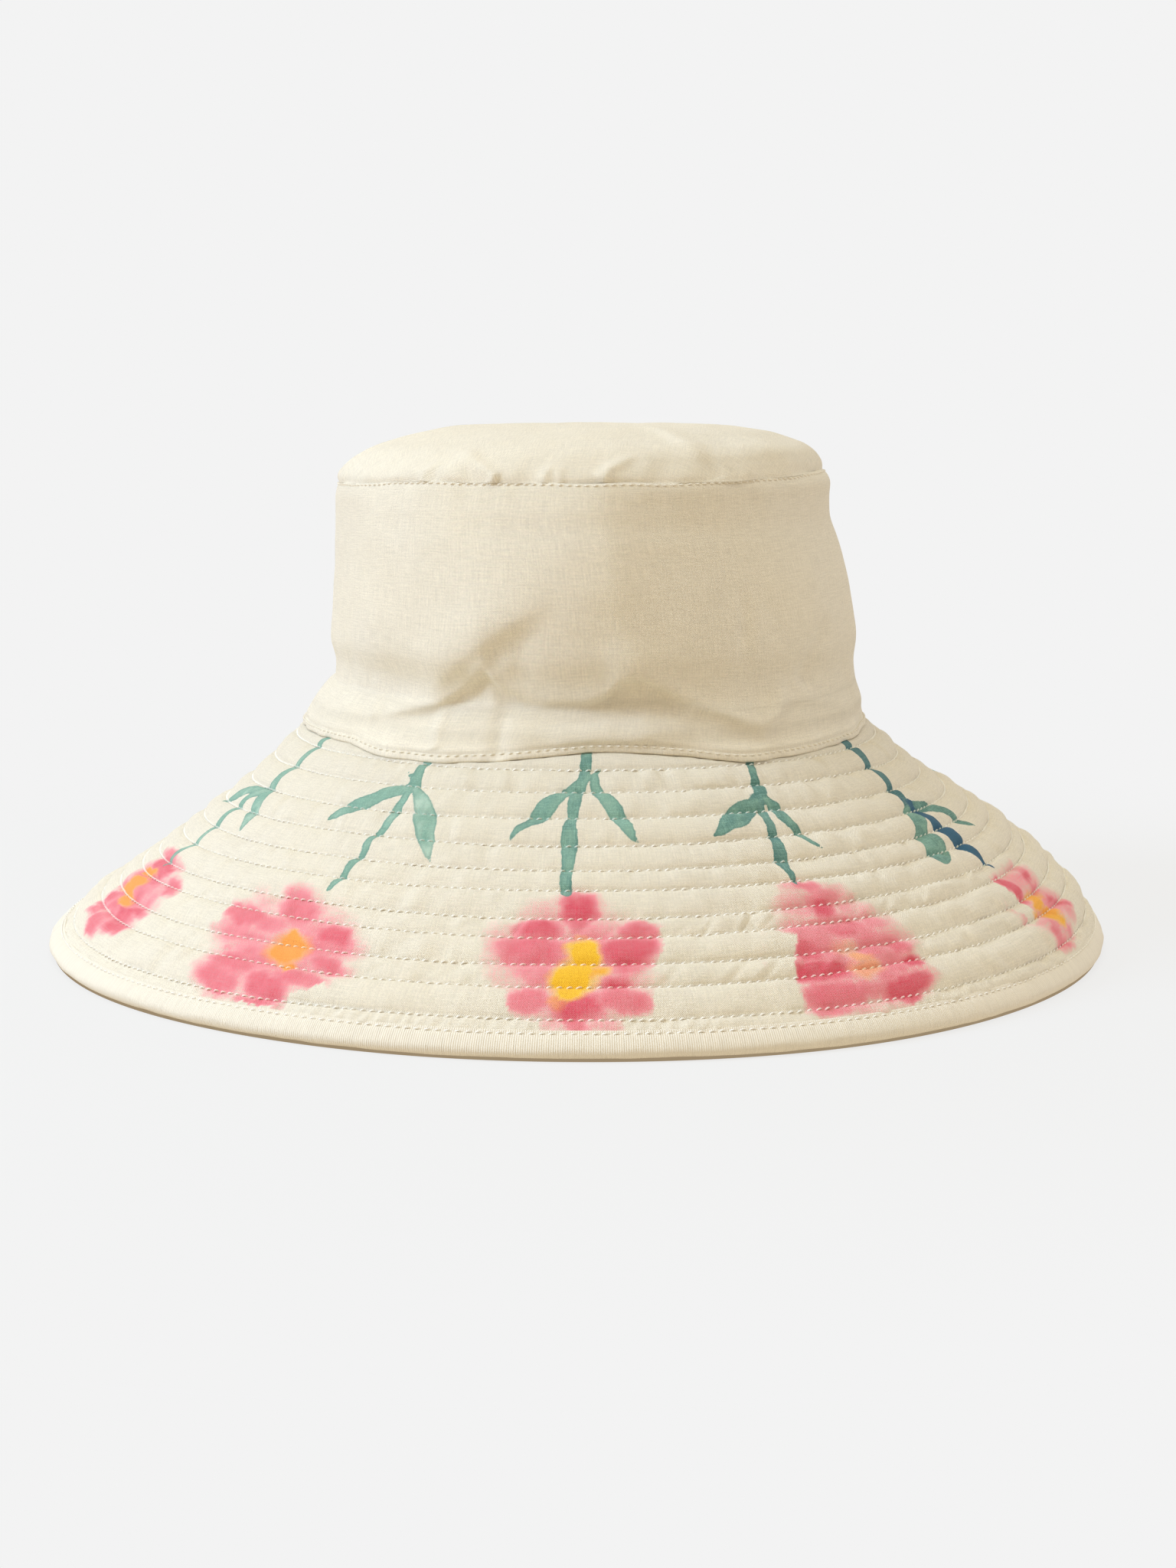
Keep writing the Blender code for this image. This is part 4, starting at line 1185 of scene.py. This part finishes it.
            (22.2, 68.7, 5.5, 2.0, 14, 0.35, 0.9), (20.5, 77.0, 3.8, 1.8, 17, 0.65, 0.62),
            (6.2, 77.3, 2.3, 1.5, 33, 0.9, 0.57), (-0.9, 74.9, 1.6, 1.0, -25, 0.5, 0.8),
            (23.0, 82.8, 3.2, 1.3, 10, 0.85, 0.57), (29.7, 86.3, 5.6, 1.5, 23, 0.85, 0.57),
            (3.4, 80.4, 3.6, 2.2, 16, 0.3, 0.9), (33.2, 85.3, 4.7, 1.9, 19, 0.4, 0.9),
            (8.3, 89.2, 3.2, 2.4, 21, 0.5, 0.78), (7.0, 91.5, 3.5, 0.9, 4, 0.6, 0.71),
            (9.8, 94.7, 5.6, 2.3, 17, 0.6, 0.5), (20.4, 94.2, 3.7, 1.3, 21, 0.55, 0.83),
            (27.7, 89.5, 3.4, 2.4, 21, 0.4, 0.9), (6.5, 96.1, 3.3, 1.5, 14, 0.35, 0.9),
            (5.1, 86.4, 3.3, 1.4, 13, 0.25, 0.9),
        ],
        halo=(13.5, 81.0, 20.0, 17.0, 0.30),
        cuts=[(6.5, 84.0, 1.6, 66.0)],
        golds=[
            (14.7, 78.9, 5.6, 1.8, 5, 0.7, 0.3), (11.8, 81.2, 4.4, 1.9, -16, 0.85, 0.3),
            (16.4, 85.0, 4.8, 1.7, 19, 0.95, 0.35), (15.1, 87.2, 5.1, 2.0, 27, 0.85, 0.25),
            (17.5, 90.3, 3.6, 1.8, 8, 0.8, 0.25), (6.3, 83.8, 2.2, 1.1, 12, 0.6, 0.3),
        ],
    ),
}
# motif, degrees of its axis, mirrored, stretch across
PLACED = [
    ("centre", 0.1, False, 1.0), ("left", -28.7, False, 1.0), ("right", 28.4, False, 1.0),
    ("far_left", -59.9, False, 1.0), ("far_right", 56.9, False, 1.0),
    ("left", 107.5, True, 0.95), ("centre", 136.5, False, 0.97), ("right", 165.5, True, 1.0),
    ("left", -166.0, False, 0.97), ("centre", -137.5, True, 1.0), ("left", -108.5, False, 0.95),
]
NO_LEAF = 9.0  # leaf distance far from any stroke


def stroke_edge(x, down, points):
    """Signed distance to a brush stroke whose width changes along it (negative inside)."""
    line = resample(points, max(12, len(points) * 4))
    best = np.full(x.shape, 99.0)
    for a, b in zip(line[:-1], line[1:]):
        d = b - a
        t = ((x - a[0]) * d[0] + (down - a[1]) * d[1]) / (d[0] ** 2 + d[1] ** 2 + 1e-9)
        t = np.clip(t, 0, 1)
        distance = np.hypot(x - a[0] - t * d[0], down - a[1] - t * d[1]) - (a[2] + t * d[2])
        best = np.minimum(best, distance)
    return best


def oval(x, down, centre_x, centre_down, half_x, half_down, tilt):
    """Distance from a soft oval's centre, 1 on its outline."""
    c, s = math.cos(math.radians(tilt)), math.sin(math.radians(tilt))
    u = (x - centre_x) * c + (down - centre_down) * s
    v = -(x - centre_x) * s + (down - centre_down) * c
    return (np.abs(u / half_x) ** 2.2 + np.abs(v / half_down) ** 2.2) ** (1 / 2.2)


def paint(angle, down):
    """Pigment of the print at every point, by attribute."""
    leaf = np.full(down.shape, NO_LEAF)
    tone = np.full(down.shape, 0.3)
    blue, pink, gold, hue = (np.zeros(down.shape) for _ in range(4))
    radius = slope(down)[0]
    for index, (key, axis, mirrored, stretch) in enumerate(PLACED):
        motif = MOTIFS[key]
        degrees = wrap(np.degrees(angle) - axis)
        if np.min(np.abs(degrees)) > 25:
            continue
        x = np.radians(degrees) * radius * (-1 if mirrored else 1) / stretch

        def wander(size, shift, layer):
            return noise(x / size + shift, down / size, 4000, 60 + index * 5 + layer)

        # a painter's hand: edges wander a little
        drift_x, drift_down = 0.5 * wander(6.0, 300, 0), 0.5 * wander(6.0, 300, 1)
        close = np.abs(x) < 42
        brush_x, brush_down = (x + drift_x * 0.35)[close], (down + drift_down * 0.35)[close]
        for points, shade, blueness in motif["strokes"]:
            edge = stroke_edge(brush_x, brush_down, points)
            wins = edge < leaf[close]
            shade = shade + motif.get("pale", 0.0)
            for field, value in ((leaf, edge), (tone, shade), (blue, blueness)):
                field[close] = np.where(wins, value, field[close])
        petal_x = x + drift_x * 1.3 + 0.45 * wander(2.1, 500, 2)
        petal_down = down + drift_down * 1.3 + 0.45 * wander(2.1, 700, 3)

        bloom = np.zeros(down.shape)
        for *shape, strength, soft in motif["blobs"]:
            q = oval(petal_x, petal_down, *shape)
            soft = 0.08 + 1.1 * soft
            core = strength * (1 - ease(q, 1.0 - soft, 1.0 + 1.25 * soft))
            wide = 0.52 * strength * (1 - ease(q, 0.35, 1.9))
            value = np.maximum(core, wide)
            most = np.maximum(bloom, value)
            bloom = most + 0.20 * np.minimum(bloom, value) * (1 - most)
        halo_x, halo_down, half_x, half_down, strength = motif["halo"]
        q = np.hypot((petal_x - halo_x) / half_x, (petal_down - halo_down) / half_down)
        cloud = 1 + 0.5 * wander(7.0, 900, 4)
        bloom = np.maximum(bloom, strength * cloud * (1 - ease(q, 0.50, 1.05)))
        bloom = bloom + 0.10 * (1 - bloom) * (1 - ease(q, 0.7, 1.3))
        ragged = 0.55 * wander(0.9, 100, 6) + 0.5 * wander(2.3, 100, 7)
        for x1, down1, x2, down2 in motif["cuts"]:
            length = math.hypot(x2 - x1, down2 - down1)
            dx, dd = (x2 - x1) / length, (down2 - down1) / length
            off = dx * (down - down1) - dd * (x - x1) + ragged
            run = dx * (x - x1) + dd * (down - down1)
            near = ease(run, -1.6, 0.0) * (1 - ease(run, length, length + 1.6))
            near = near * ease(off, -9, -7)
            bloom = bloom * (1 - near * (1 - ease(off, -0.35, 0.45)))
        pink = np.maximum(pink, bloom * motif.get("wash", 1.0))
        for *shape, strength, gold_hue in motif["golds"]:
            value = strength * (1 - ease(oval(petal_x, petal_down, *shape), 0.40, 1.60))
            hue = np.where(value > gold, gold_hue, hue)
            gold = np.maximum(gold, value)
    pink = pink * (1 - 0.85 * ease(gold, 0.25, 0.8))
    return {
        "leaf": leaf, "leaf_tone": tone, "leaf_blue": blue,
        "pink": pink, "gold": gold, "gold_hue": hue,
    }


# ---------------------------------------------------------------- brim pieces

BRIM_MM = 150.0  # millimetres of cloth per radian, for the weave
INTERLINING_LIFTS = (-1.66, -1.94)
# closed section of the binding (down, lift): outer face from the upper inner edge round the
# rim to the lower one, then the hidden face back again
BINDING_OUTER = [
    (99.15, -0.02), (99.25, 0.34), (99.6, 0.46), (100.1, 0.34), (100.4, 0.24), (100.75, 0.40),
    (101.4, 0.56), (102.5, 0.52), (103.7, 0.38), (104.8, 0.12), (105.55, -0.30),
    (106.05, -1.05), (106.2, -2.10), (106.1, -2.75), (105.7, -3.05), (105.0, -3.40),
    (104.0, -3.70), (102.5, -3.75), (101.2, -3.60), (100.4, -3.16), (99.8, -3.30),
    (99.25, -3.18), (99.15, -2.80),
]
BINDING_INNER = [
    (99.3, -2.75), (101.0, -2.80), (103.0, -2.90), (104.4, -2.80), (105.0, -2.4),
    (104.8, -1.6), (104.0, -1.1), (102.8, -0.62), (101.2, -0.10), (99.3, -0.1),
]


def printed_top(half, cols):
    angle = half_angles(half, cols)
    down, lift = quilt_grid(angle, TOP_STEPS, top_lift)
    low = np.minimum(lift - 0.45, FLOOR_LIFT + 0.9 * (lift - FLOOR_LIFT) - 0.45)
    bottom = brim(angle[::SKIP], down[SPARSE], low[SPARSE])
    pigment = {
        key: (value, NO_LEAF if key == "leaf" else 0.0)
        for key, value in paint(angle, down).items()
    }
    mm = cloth_mm(angle * BRIM_MM, down)
    obj = shell("printed_top_" + half, brim(angle, down, lift), bottom, False, mm, pigment)
    add_piece(obj, "brim_top_" + half, PRINTED)


def middle_layers():
    """Wadding and interlining, which stop short of the binding."""
    angle = ring_angles(360)
    down, lift = quilt_grid(angle, MIDDLE_STEPS, top_lift)
    short = slice(None, -(len(MIDDLE_STEPS) - 1))
    down, lift = down[short], lift[short]
    lift = FLOOR_LIFT + 0.72 * (lift - FLOOR_LIFT) - 0.62
    mm = cloth_mm(angle * BRIM_MM, down)
    obj = shell("wadding_layer", brim(angle, down, lift), brim(angle, down, -1.62), True, mm)
    add_piece(obj, "brim_wadding", WADDING)
    top, bottom = (brim(angle, down, level) for level in INTERLINING_LIFTS)
    obj = shell("interlining_layer", top, bottom, True, mm)
    add_piece(obj, "brim_interlining", INTERLINING)


def under_panel(half):
    angle = half_angles(half, 361)
    down, lift = quilt_grid(angle, UNDER_STEPS, under_lift)
    hidden = brim(angle[::SKIP], down[SPARSE], -1.98)
    mm = cloth_mm(angle * BRIM_MM, down)
    obj = shell("under_panel_" + half, brim(angle, down, lift), hidden, False, mm)
    add_piece(obj, "brim_under_" + half, PLAIN)


def edge_binding():
    cols = 960
    angle = ring_angles(cols)
    section = BINDING_OUTER + BINDING_INNER
    broad = ring_noise(angle, 90, 0.5, 71)
    fine = ring_noise(angle, 210, 0.5, 72)
    rows = []
    for i, (down, lift) in enumerate(section):
        if i < len(BINDING_OUTER):
            q = i / (len(BINDING_OUTER) - 1)
            loose = math.sin(PI * q)
            lean = ring_noise(angle, 190, q * 1.5, 73, q * 1.2)
            down = down + (0.16 * broad * loose + 0.05 * fine)
            upward = 1 if q < 0.5 else -1
            lift = lift + (0.12 * lean * upward * loose + 0.07 * fine * (1 - loose))
        else:
            down = down + 0.12 * broad
        rows.append(brim(angle, down, lift))
    verts = np.array(rows).reshape(-1, 3)
    grid = index_grid(len(section), cols, True)
    faces = grid_faces(np.vstack([grid, grid[:1]]))
    if face_normal(verts, faces[3 * cols])[2] < 0:
        faces = faces[:, ::-1]
    mm = cloth_mm(angle * 176.0, travel(*zip(*section))[:, None])
    obj = build("edge_binding", verts, [faces], {"mm": mm.reshape(-1, 3)})
    add_piece(obj, "brim_binding", BINDING)


def quilting(row):
    """One stitched row, above and below the brim."""
    centres, half = stitch_row(slope(ROWS[row])[0], pitch=2.77, seed=100 + row)
    tilt = 0.26 + 0.10 * np.random.default_rng(400 + row).uniform(-1, 1, len(centres))

    def above(t, lift):
        q = (t - centres[:, None]) / half[:, None]
        return brim(t, row_down(row, t) - tilt[:, None] * q, FLOOR_LIFT + 0.15 + lift)

    def below(t, lift):
        return brim(t, row_down(row, t), UNDER_FLOOR - 0.06 - lift)

    pigment = paint(centres, row_down(row, centres))
    bare = 0 * centres
    dye = {
        "pink": [np.clip(pigment["pink"], 0, 1), bare],
        "gold": [pigment["gold"], bare],
        "leafy": [(pigment["leaf"] < 0.1) * 1.0, bare],
    }
    between = centres + PI / len(centres)
    sets = [(above, centres, half, 0.35, 0.55), (below, between, half, 0.22, 0.35)]
    number = "%02d" % (row + 1)
    sew("quilting_" + number, "quilting_thread_" + number, sets, thick=0.27, dye=dye)


def binding_stitching():
    centres, half = stitch_row(slope(BIND_STITCH)[0], pitch=2.85, seed=140)

    def above(t, lift):
        return brim(t, BIND_STITCH + 0.08 * ring_noise(t, 60, 0.0, 74), 0.30 + lift)

    def below(t, lift):
        return brim(t, BIND_STITCH + 0 * t, -3.18 - lift)

    sets = [(above, centres, half, 0.26, 0.36), (below, centres + 0.008, half, 0.22, 0.30)]
    sew("binding_stitching", "binding_thread", sets)


printed_top("front", 641)
printed_top("back", 481)
middle_layers()
under_panel("front")
under_panel("back")
edge_binding()
for row in range(len(ROWS)):
    quilting(row)
binding_stitching()

# ---------------------------------------------------------------- crown pieces

FOLD_RADIUS = 0.55
FOLD_ANGLES = [165, 130, 95, 65, 35]  # degrees from outwards, turning downwards


def crown_wall(half, cols):
    angle = half_angles(half, cols)
    levels = np.concatenate([
        np.linspace(0, 0.16, 29), np.linspace(0.16, 0.93, 76)[1:], np.linspace(0.93, 1.0, 14)[1:]
    ])
    sheet = wall(angle, levels[:, None])
    # rounded fold at the lower edge, turned to the inside
    hem = sheet[0]
    downward = unit(hem - sheet[1])
    out = np.stack([np.sin(angle), -np.cos(angle), 0 * angle], -1)
    out = unit(out - downward * np.sum(out * downward, -1, keepdims=True))
    fold = [
        hem - out * FOLD_RADIUS + FOLD_RADIUS * (out * math.cos(a) + downward * math.sin(a))
        for a in np.radians(FOLD_ANGLES)
    ]
    top = np.concatenate([np.array(fold), sheet])
    # lengthen the turned edge until the rows suit the sparser inner face
    while (len(top) - 1) % SKIP:
        top = np.concatenate([(top[0] - downward * 0.5)[None], top])
    extra = len(top) - len(sheet)
    inner = []
    for row in range(0, len(top), SKIP):
        if row <= extra:
            # keep the first inner rows apart along the wall
            inner.append(top[extra + 1] - out * 1.20 - downward * (0.25 * row / SKIP))
        else:
            inner.append(top[row] - out * (1.05 if row - extra < 26 else 0.62))
    gaps = np.linalg.norm(np.diff(top[:, cols // 2], axis=0), axis=-1)
    along = np.concatenate([[0], np.cumsum(gaps)])
    mm = cloth_mm(angle * 87.0, along[:, None])
    obj = shell("crown_wall_" + half, top, np.array(inner)[:, ::SKIP], False, mm)
    add_piece(obj, "crown_side_" + half, CROWN_COTTON)


def crown_edge_stitching():
    centres, half = stitch_row(95, pitch=2.85, seed=150)

    def on_fold(t, lift):
        up = 1.38 + 0.10 * ring_noise(t, 40, 0.0, 75)
        return wall(t, up / wall_height(t), 0.06 + lift)

    sets = [(on_fold, centres, half, 0.30, 0.45)]
    sew("crown_edge_stitching", "crown_seam_thread", sets, THREAD_DARK)


def crown_top():
    angle = ring_angles(560)
    start = arc_of(seam_z(angle)) - 0.35
    share = np.concatenate([np.linspace(0, 0.14, 25), np.linspace(0.14, 0.975, 73)[1:]])
    arc = start + share[:, None] * (ARC_TOP - start)
    lift = tip_lift(angle, arc)
    inner = tip(angle[::SKIP], arc[SPARSE], np.minimum(lift[SPARSE], 0.3) - 0.75)
    plan = cloth_mm(*tip_plan(angle, arc))
    obj = disc("crown_top_panel", tip(angle, arc, lift), inner, plan, plan[SPARSE])
    add_piece(obj, "crown_tip", CROWN_COTTON)


def tip_seam_stitching():
    centres, half = stitch_row(80.4, pitch=2.7, seed=160)

    def on_seam(t, lift):
        below = 0.55 + 0.08 * ring_noise(t, 44, 0.0, 76)
        return wall(t, 1 - below / wall_height(t), 0.06 + lift)

    sets = [(on_seam, centres, half, 0.28, 0.5)]
    sew("tip_seam_stitching", "tip_seam_thread", sets, THREAD_DARK)


crown_wall("front", 425)
crown_wall("back", 321)
crown_edge_stitching()
crown_top()
tip_seam_stitching()

# ---------------------------------------------------------------- inside pieces


def box_mm(name):
    """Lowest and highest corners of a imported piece."""
    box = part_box(name)
    return np.array(box[0]) * 1000, np.array(box[1]) * 1000


LABEL_LOW, LABEL_HIGH = box_mm("care_label")
BAND_LOW, BAND_HIGH = (corner[2] for corner in box_mm("sweatband"))
LINING_MM = 84.0  # millimetres of cloth per radian


def inner_wall(angle, z, lift):
    """Inside surfaces keep clear of the folds of the wall outside them."""
    hanging = ring_noise(angle, 70, z / 30.0, 82) * decay(149 - z, 9)
    calm = 0.22 * ring_noise(angle, 20, z / 18.0, 81) + 0.12 * hanging
    radius = np.minimum(curve(np.maximum(z, 73.0), CROWN_Z, CROWN_R), 90.4)
    shift = curve(z, CROWN_Z, CROWN_SHIFT)
    # the wall is pulled flat behind the care label
    inmost = radius - 4.62 + calm
    x = inmost * np.sin(angle) + AXIS_X + shift
    short = np.clip(LABEL_HIGH[1] + 0.30 + OVAL * inmost * np.cos(angle), 0, 1.5)
    room = short * (1 - ease(np.abs(x), 13.5, 24)) * ease(z, 68, 78) * (1 - ease(z, 103, 114))
    room = room * (np.cos(angle) < 0)
    radius = radius + lift + calm
    x = radius * np.sin(angle) + AXIS_X + shift
    return np.stack([x, -OVAL * radius * np.cos(angle) + room, z + 0 * angle], -1)


def lining_wall(half):
    angle = half_angles(half, 193)
    z = np.linspace(74.5, 148.2, 61)[:, None]
    inside = inner_wall(angle, z, -3.1 + side_seam(angle) * -0.5)
    outside = inner_wall(angle[::SKIP], z[::SKIP], -2.7)
    mm = cloth_mm(angle * LINING_MM, z)
    obj = shell("lining_wall_" + half, inside, outside, False, mm)
    add_piece(obj, "lining_side_" + half, LINING)


def lining_top():
    angle = ring_angles(64)
    start = float(arc_of(149.5))
    arc = start + np.linspace(0, 0.975, 13)[:, None] * (ARC_TOP - start) + 0 * angle
    x, y = tip_plan(angle, arc)
    slack = 0.35 * noise(x / 20 + 50, y / 20 + 50, 4000, 83) * ease(ARC_TOP - arc, 3, 15)
    slack += 0.4 * ring_noise(angle, 60, arc / 30, 84) * decay(arc - start, 7)
    over = tip(angle, arc, -2.5 + slack)
    plan = cloth_mm(x, y)
    obj = disc("lining_top_panel", over, over - np.array([0, 0, 0.4]), plan, plan)
    add_piece(obj, "lining_tip", LINING)


def sweatband():
    angle = ring_angles(480)
    z = np.linspace(BAND_LOW + 0.2, BAND_HIGH - 0.2, 33)[:, None]
    wave = 0.30 * ring_noise(angle, 26, z / 24.0, 85) + 0.12 * ring_noise(angle, 90, z / 8.0, 86)
    lip = 0.35 * bell(z, BAND_LOW, 1.6) + 0.25 * bell(z, BAND_HIGH, 1.6)
    stitched = 0.35 * bell(z - BAND_LOW, 3.0, 0.8)
    inside = inner_wall(angle, z, -4.25 + wave * 0.5 + stitched - lip * 0.3)
    outside = inner_wall(angle[::SKIP], z[::SKIP], -3.35)
    mm = cloth_mm(angle * LINING_MM, z)
    obj = shell("sweatband_tape", inside, outside, True, mm)
    add_piece(obj, "sweatband", TWILL)

    def band_row(t, lift):
        return inner_wall(t, BAND_LOW + 3.0 + 0 * t, -3.98 - lift)

    centres, half = stitch_row(86, pitch=2.9, seed=170)
    sets = [(band_row, centres, half, 0.28, 0.35)]
    sew("sweatband_stitching", "sweatband_thread", sets)


def care_label():
    """Blank satin rectangle hanging from its sewn upper edge, with its stitches."""
    low, high = LABEL_LOW, LABEL_HIGH
    xs = np.linspace(low[0], high[0], 41)
    zs = np.linspace(high[2], low[2], 41)
    x, z = np.meshgrid(xs, zs)
    drop = (high[2] - z) / (high[2] - low[2])
    across = (x - low[0]) / (high[0] - low[0])
    y = 0.5 * (low[1] + high[1]) - 0.55 * drop**2 * (1 + 0.5 * np.sin(PI * across))
    y = y + 0.18 * np.sin(TURN * across + 0.6) * drop
    behind = PI + np.linspace(-0.34, 0.34, 137)
    for row, level in enumerate(zs):
        # never into the band or the lining behind it
        depth = -4.62 if BAND_LOW - 0.6 < level < BAND_HIGH + 0.6 else -3.40
        back = inner_wall(behind, level, depth)
        order = np.argsort(back[:, 0])
        y[row] = np.minimum(y[row], np.interp(xs, back[order, 0], back[order, 1]) - 0.26)
    inward = np.stack([x, y - 0.17, z], -1)
    outward = np.stack([x, y + 0.17, z], -1)
    obj = shell("label_cloth", inward, outward[SPARSE], False, cloth_mm(x, z))
    obj.data.materials.append(SATIN)
    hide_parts("care_label")
    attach(obj, "label")

    thread_low, thread_high = box_mm("label_thread")
    _, thread_y, thread_z = 0.5 * (thread_low + thread_high)

    def label_row(t, lift):
        on_label = np.minimum(thread_y, np.interp(t, xs, y[0]) - 0.22)
        return np.stack([t, on_label - lift, thread_z + 0 * t], -1)

    centres = np.linspace(thread_low[0] + 1.2, thread_high[0] - 1.2, 11)
    sets = [(label_row, centres, np.full(len(centres), 0.85), 0.22, 0.4)]
    sew("label_stitching", "label_thread", sets)


lining_wall("front")
lining_wall("back")
lining_top()
sweatband()
care_label()

# ---------------------------------------------------------------- floor, lights, camera

WHITE = linear(243, 243, 243)
AIM_Z = 0.08  # height the lights point at


def make_world():
    """White to the camera; a soft warm sky for lighting, a little brighter overhead."""
    world = bpy.data.worlds.new("studio")
    bpy.context.scene.world = world
    sh = Shader(world, "ShaderNodeOutputWorld")
    seen = sh.fill(sh.node("ShaderNodeBackground"), WHITE)
    height = sh.split(sh.node("ShaderNodeTexCoord").outputs["Generated"])[2]
    rise = sh.ramp(height, span=(0.0, 0.9), kind="LINEAR")
    sky = sh.mix(rise, (0.70, 0.616, 0.502), (0.73, 0.647, 0.547))
    light = sh.fill(sh.node("ShaderNodeBackground"), sky)
    camera_ray = sh.node("ShaderNodeLightPath").outputs["Is Camera Ray"]
    sh.end(sh.blend(camera_ray, light, seen))


def make_floor():
    """Glowing white floor that takes a faint shadow near the hat."""
    bpy.ops.mesh.primitive_plane_add(size=12, location=(0, 0, -0.0004))
    floor = bpy.context.object
    floor.name = "studio_floor"
    sh = Shader(bpy.data.materials.new("studio_floor"))
    geometry = sh.node("ShaderNodeNewGeometry")
    length = sh.node("ShaderNodeVectorMath", operation="LENGTH")
    sh.put(length.inputs[0], geometry.outputs["Position"])
    weight = sh.ramp(length.outputs["Value"], span=(0.20, 0.42), to=(0.16, 0.0))
    camera_ray = sh.node("ShaderNodeLightPath").outputs["Is Camera Ray"]
    glow = sh.mix(camera_ray, (0.835, 0.715, 0.54), WHITE)
    glow = sh.fill(sh.node("ShaderNodeEmission"), glow)
    matt = sh.fill(sh.node("ShaderNodeBsdfDiffuse"), (0.70, 0.71, 0.70))
    sh.front_only(sh.blend(weight, glow, matt), geometry)
    floor.data.materials.append(sh.block)


def make_painted_shadow_disc():
    """Dim glowing disc within the brim's outline, just below z = 0: a painted contact shadow, whose
    dim brown glow shows as a thin line of painted shade under the rim.
    """
    count = 360
    rim = brim(ring_angles(count), np.full(count, 105.7), -2.6)
    rim[:, 2] = -0.3
    i = np.arange(count)
    fan = np.stack([i, (i + 1) % count, np.full(count, count)], -1)
    under = build("painted_contact_shadow", np.concatenate([rim, [[0, 0, -0.3]]]), [fan])
    sh = Shader(bpy.data.materials.new("painted_contact_shadow"))
    # painted shade: this dim brown glow stands in for the shadow under the brim's edge
    glow = sh.fill(sh.node("ShaderNodeEmission"), (0.33, 0.25, 0.155))
    sh.front_only(glow, sh.node("ShaderNodeNewGeometry"))
    under.data.materials.append(sh.block)


def make_light(name, azimuth, elevation, distance, size, energy, colour):
    """Disc light; azimuth in degrees from the front towards +X."""
    light = bpy.data.lights.new(name, "AREA")
    light.shape = "DISK"
    light.size = size
    light.energy = energy
    light.color = colour
    obj = bpy.data.objects.new(name, light)
    a, e = math.radians(azimuth), math.radians(elevation)
    flat = distance * math.cos(e)
    place = (flat * math.sin(a), -flat * math.cos(a), AIM_Z + distance * math.sin(e))
    obj.location = place
    towards = Vector((0, 0, AIM_Z)) - Vector(place)
    obj.rotation_euler = towards.to_track_quat("-Z", "Y").to_euler()
    bpy.context.scene.collection.objects.link(obj)


def make_camera():
    data = bpy.data.cameras.new("camera")
    data.sensor_width = 36.0
    data.lens = 58.11
    camera = bpy.data.objects.new("camera", data)
    camera.location = (0.0027, -0.84371, 0.175784)
    camera.rotation_euler = (PI / 2 - 0.152, 0, 0)  # tipped slightly down
    scene = bpy.context.scene
    scene.collection.objects.link(camera)
    scene.camera = camera
    scene.view_settings.view_transform = "Standard"
    scene.view_settings.look = "None"


make_world()
make_floor()
make_painted_shadow_disc()
# name, azimuth, elevation, distance, size, energy, colour
for light in (
    ("key", -74, 32, 1.6, 0.80, 14.75, (0.79, 1.0, 1.35)),
    ("top", -40, 80, 1.9, 1.2, 9.4, (0.944, 1.0, 0.87)),
    ("side", 104, 12, 1.6, 0.7, 2.95, (0.72, 1.0, 1.50)),
):
    make_light(*light)
make_camera()

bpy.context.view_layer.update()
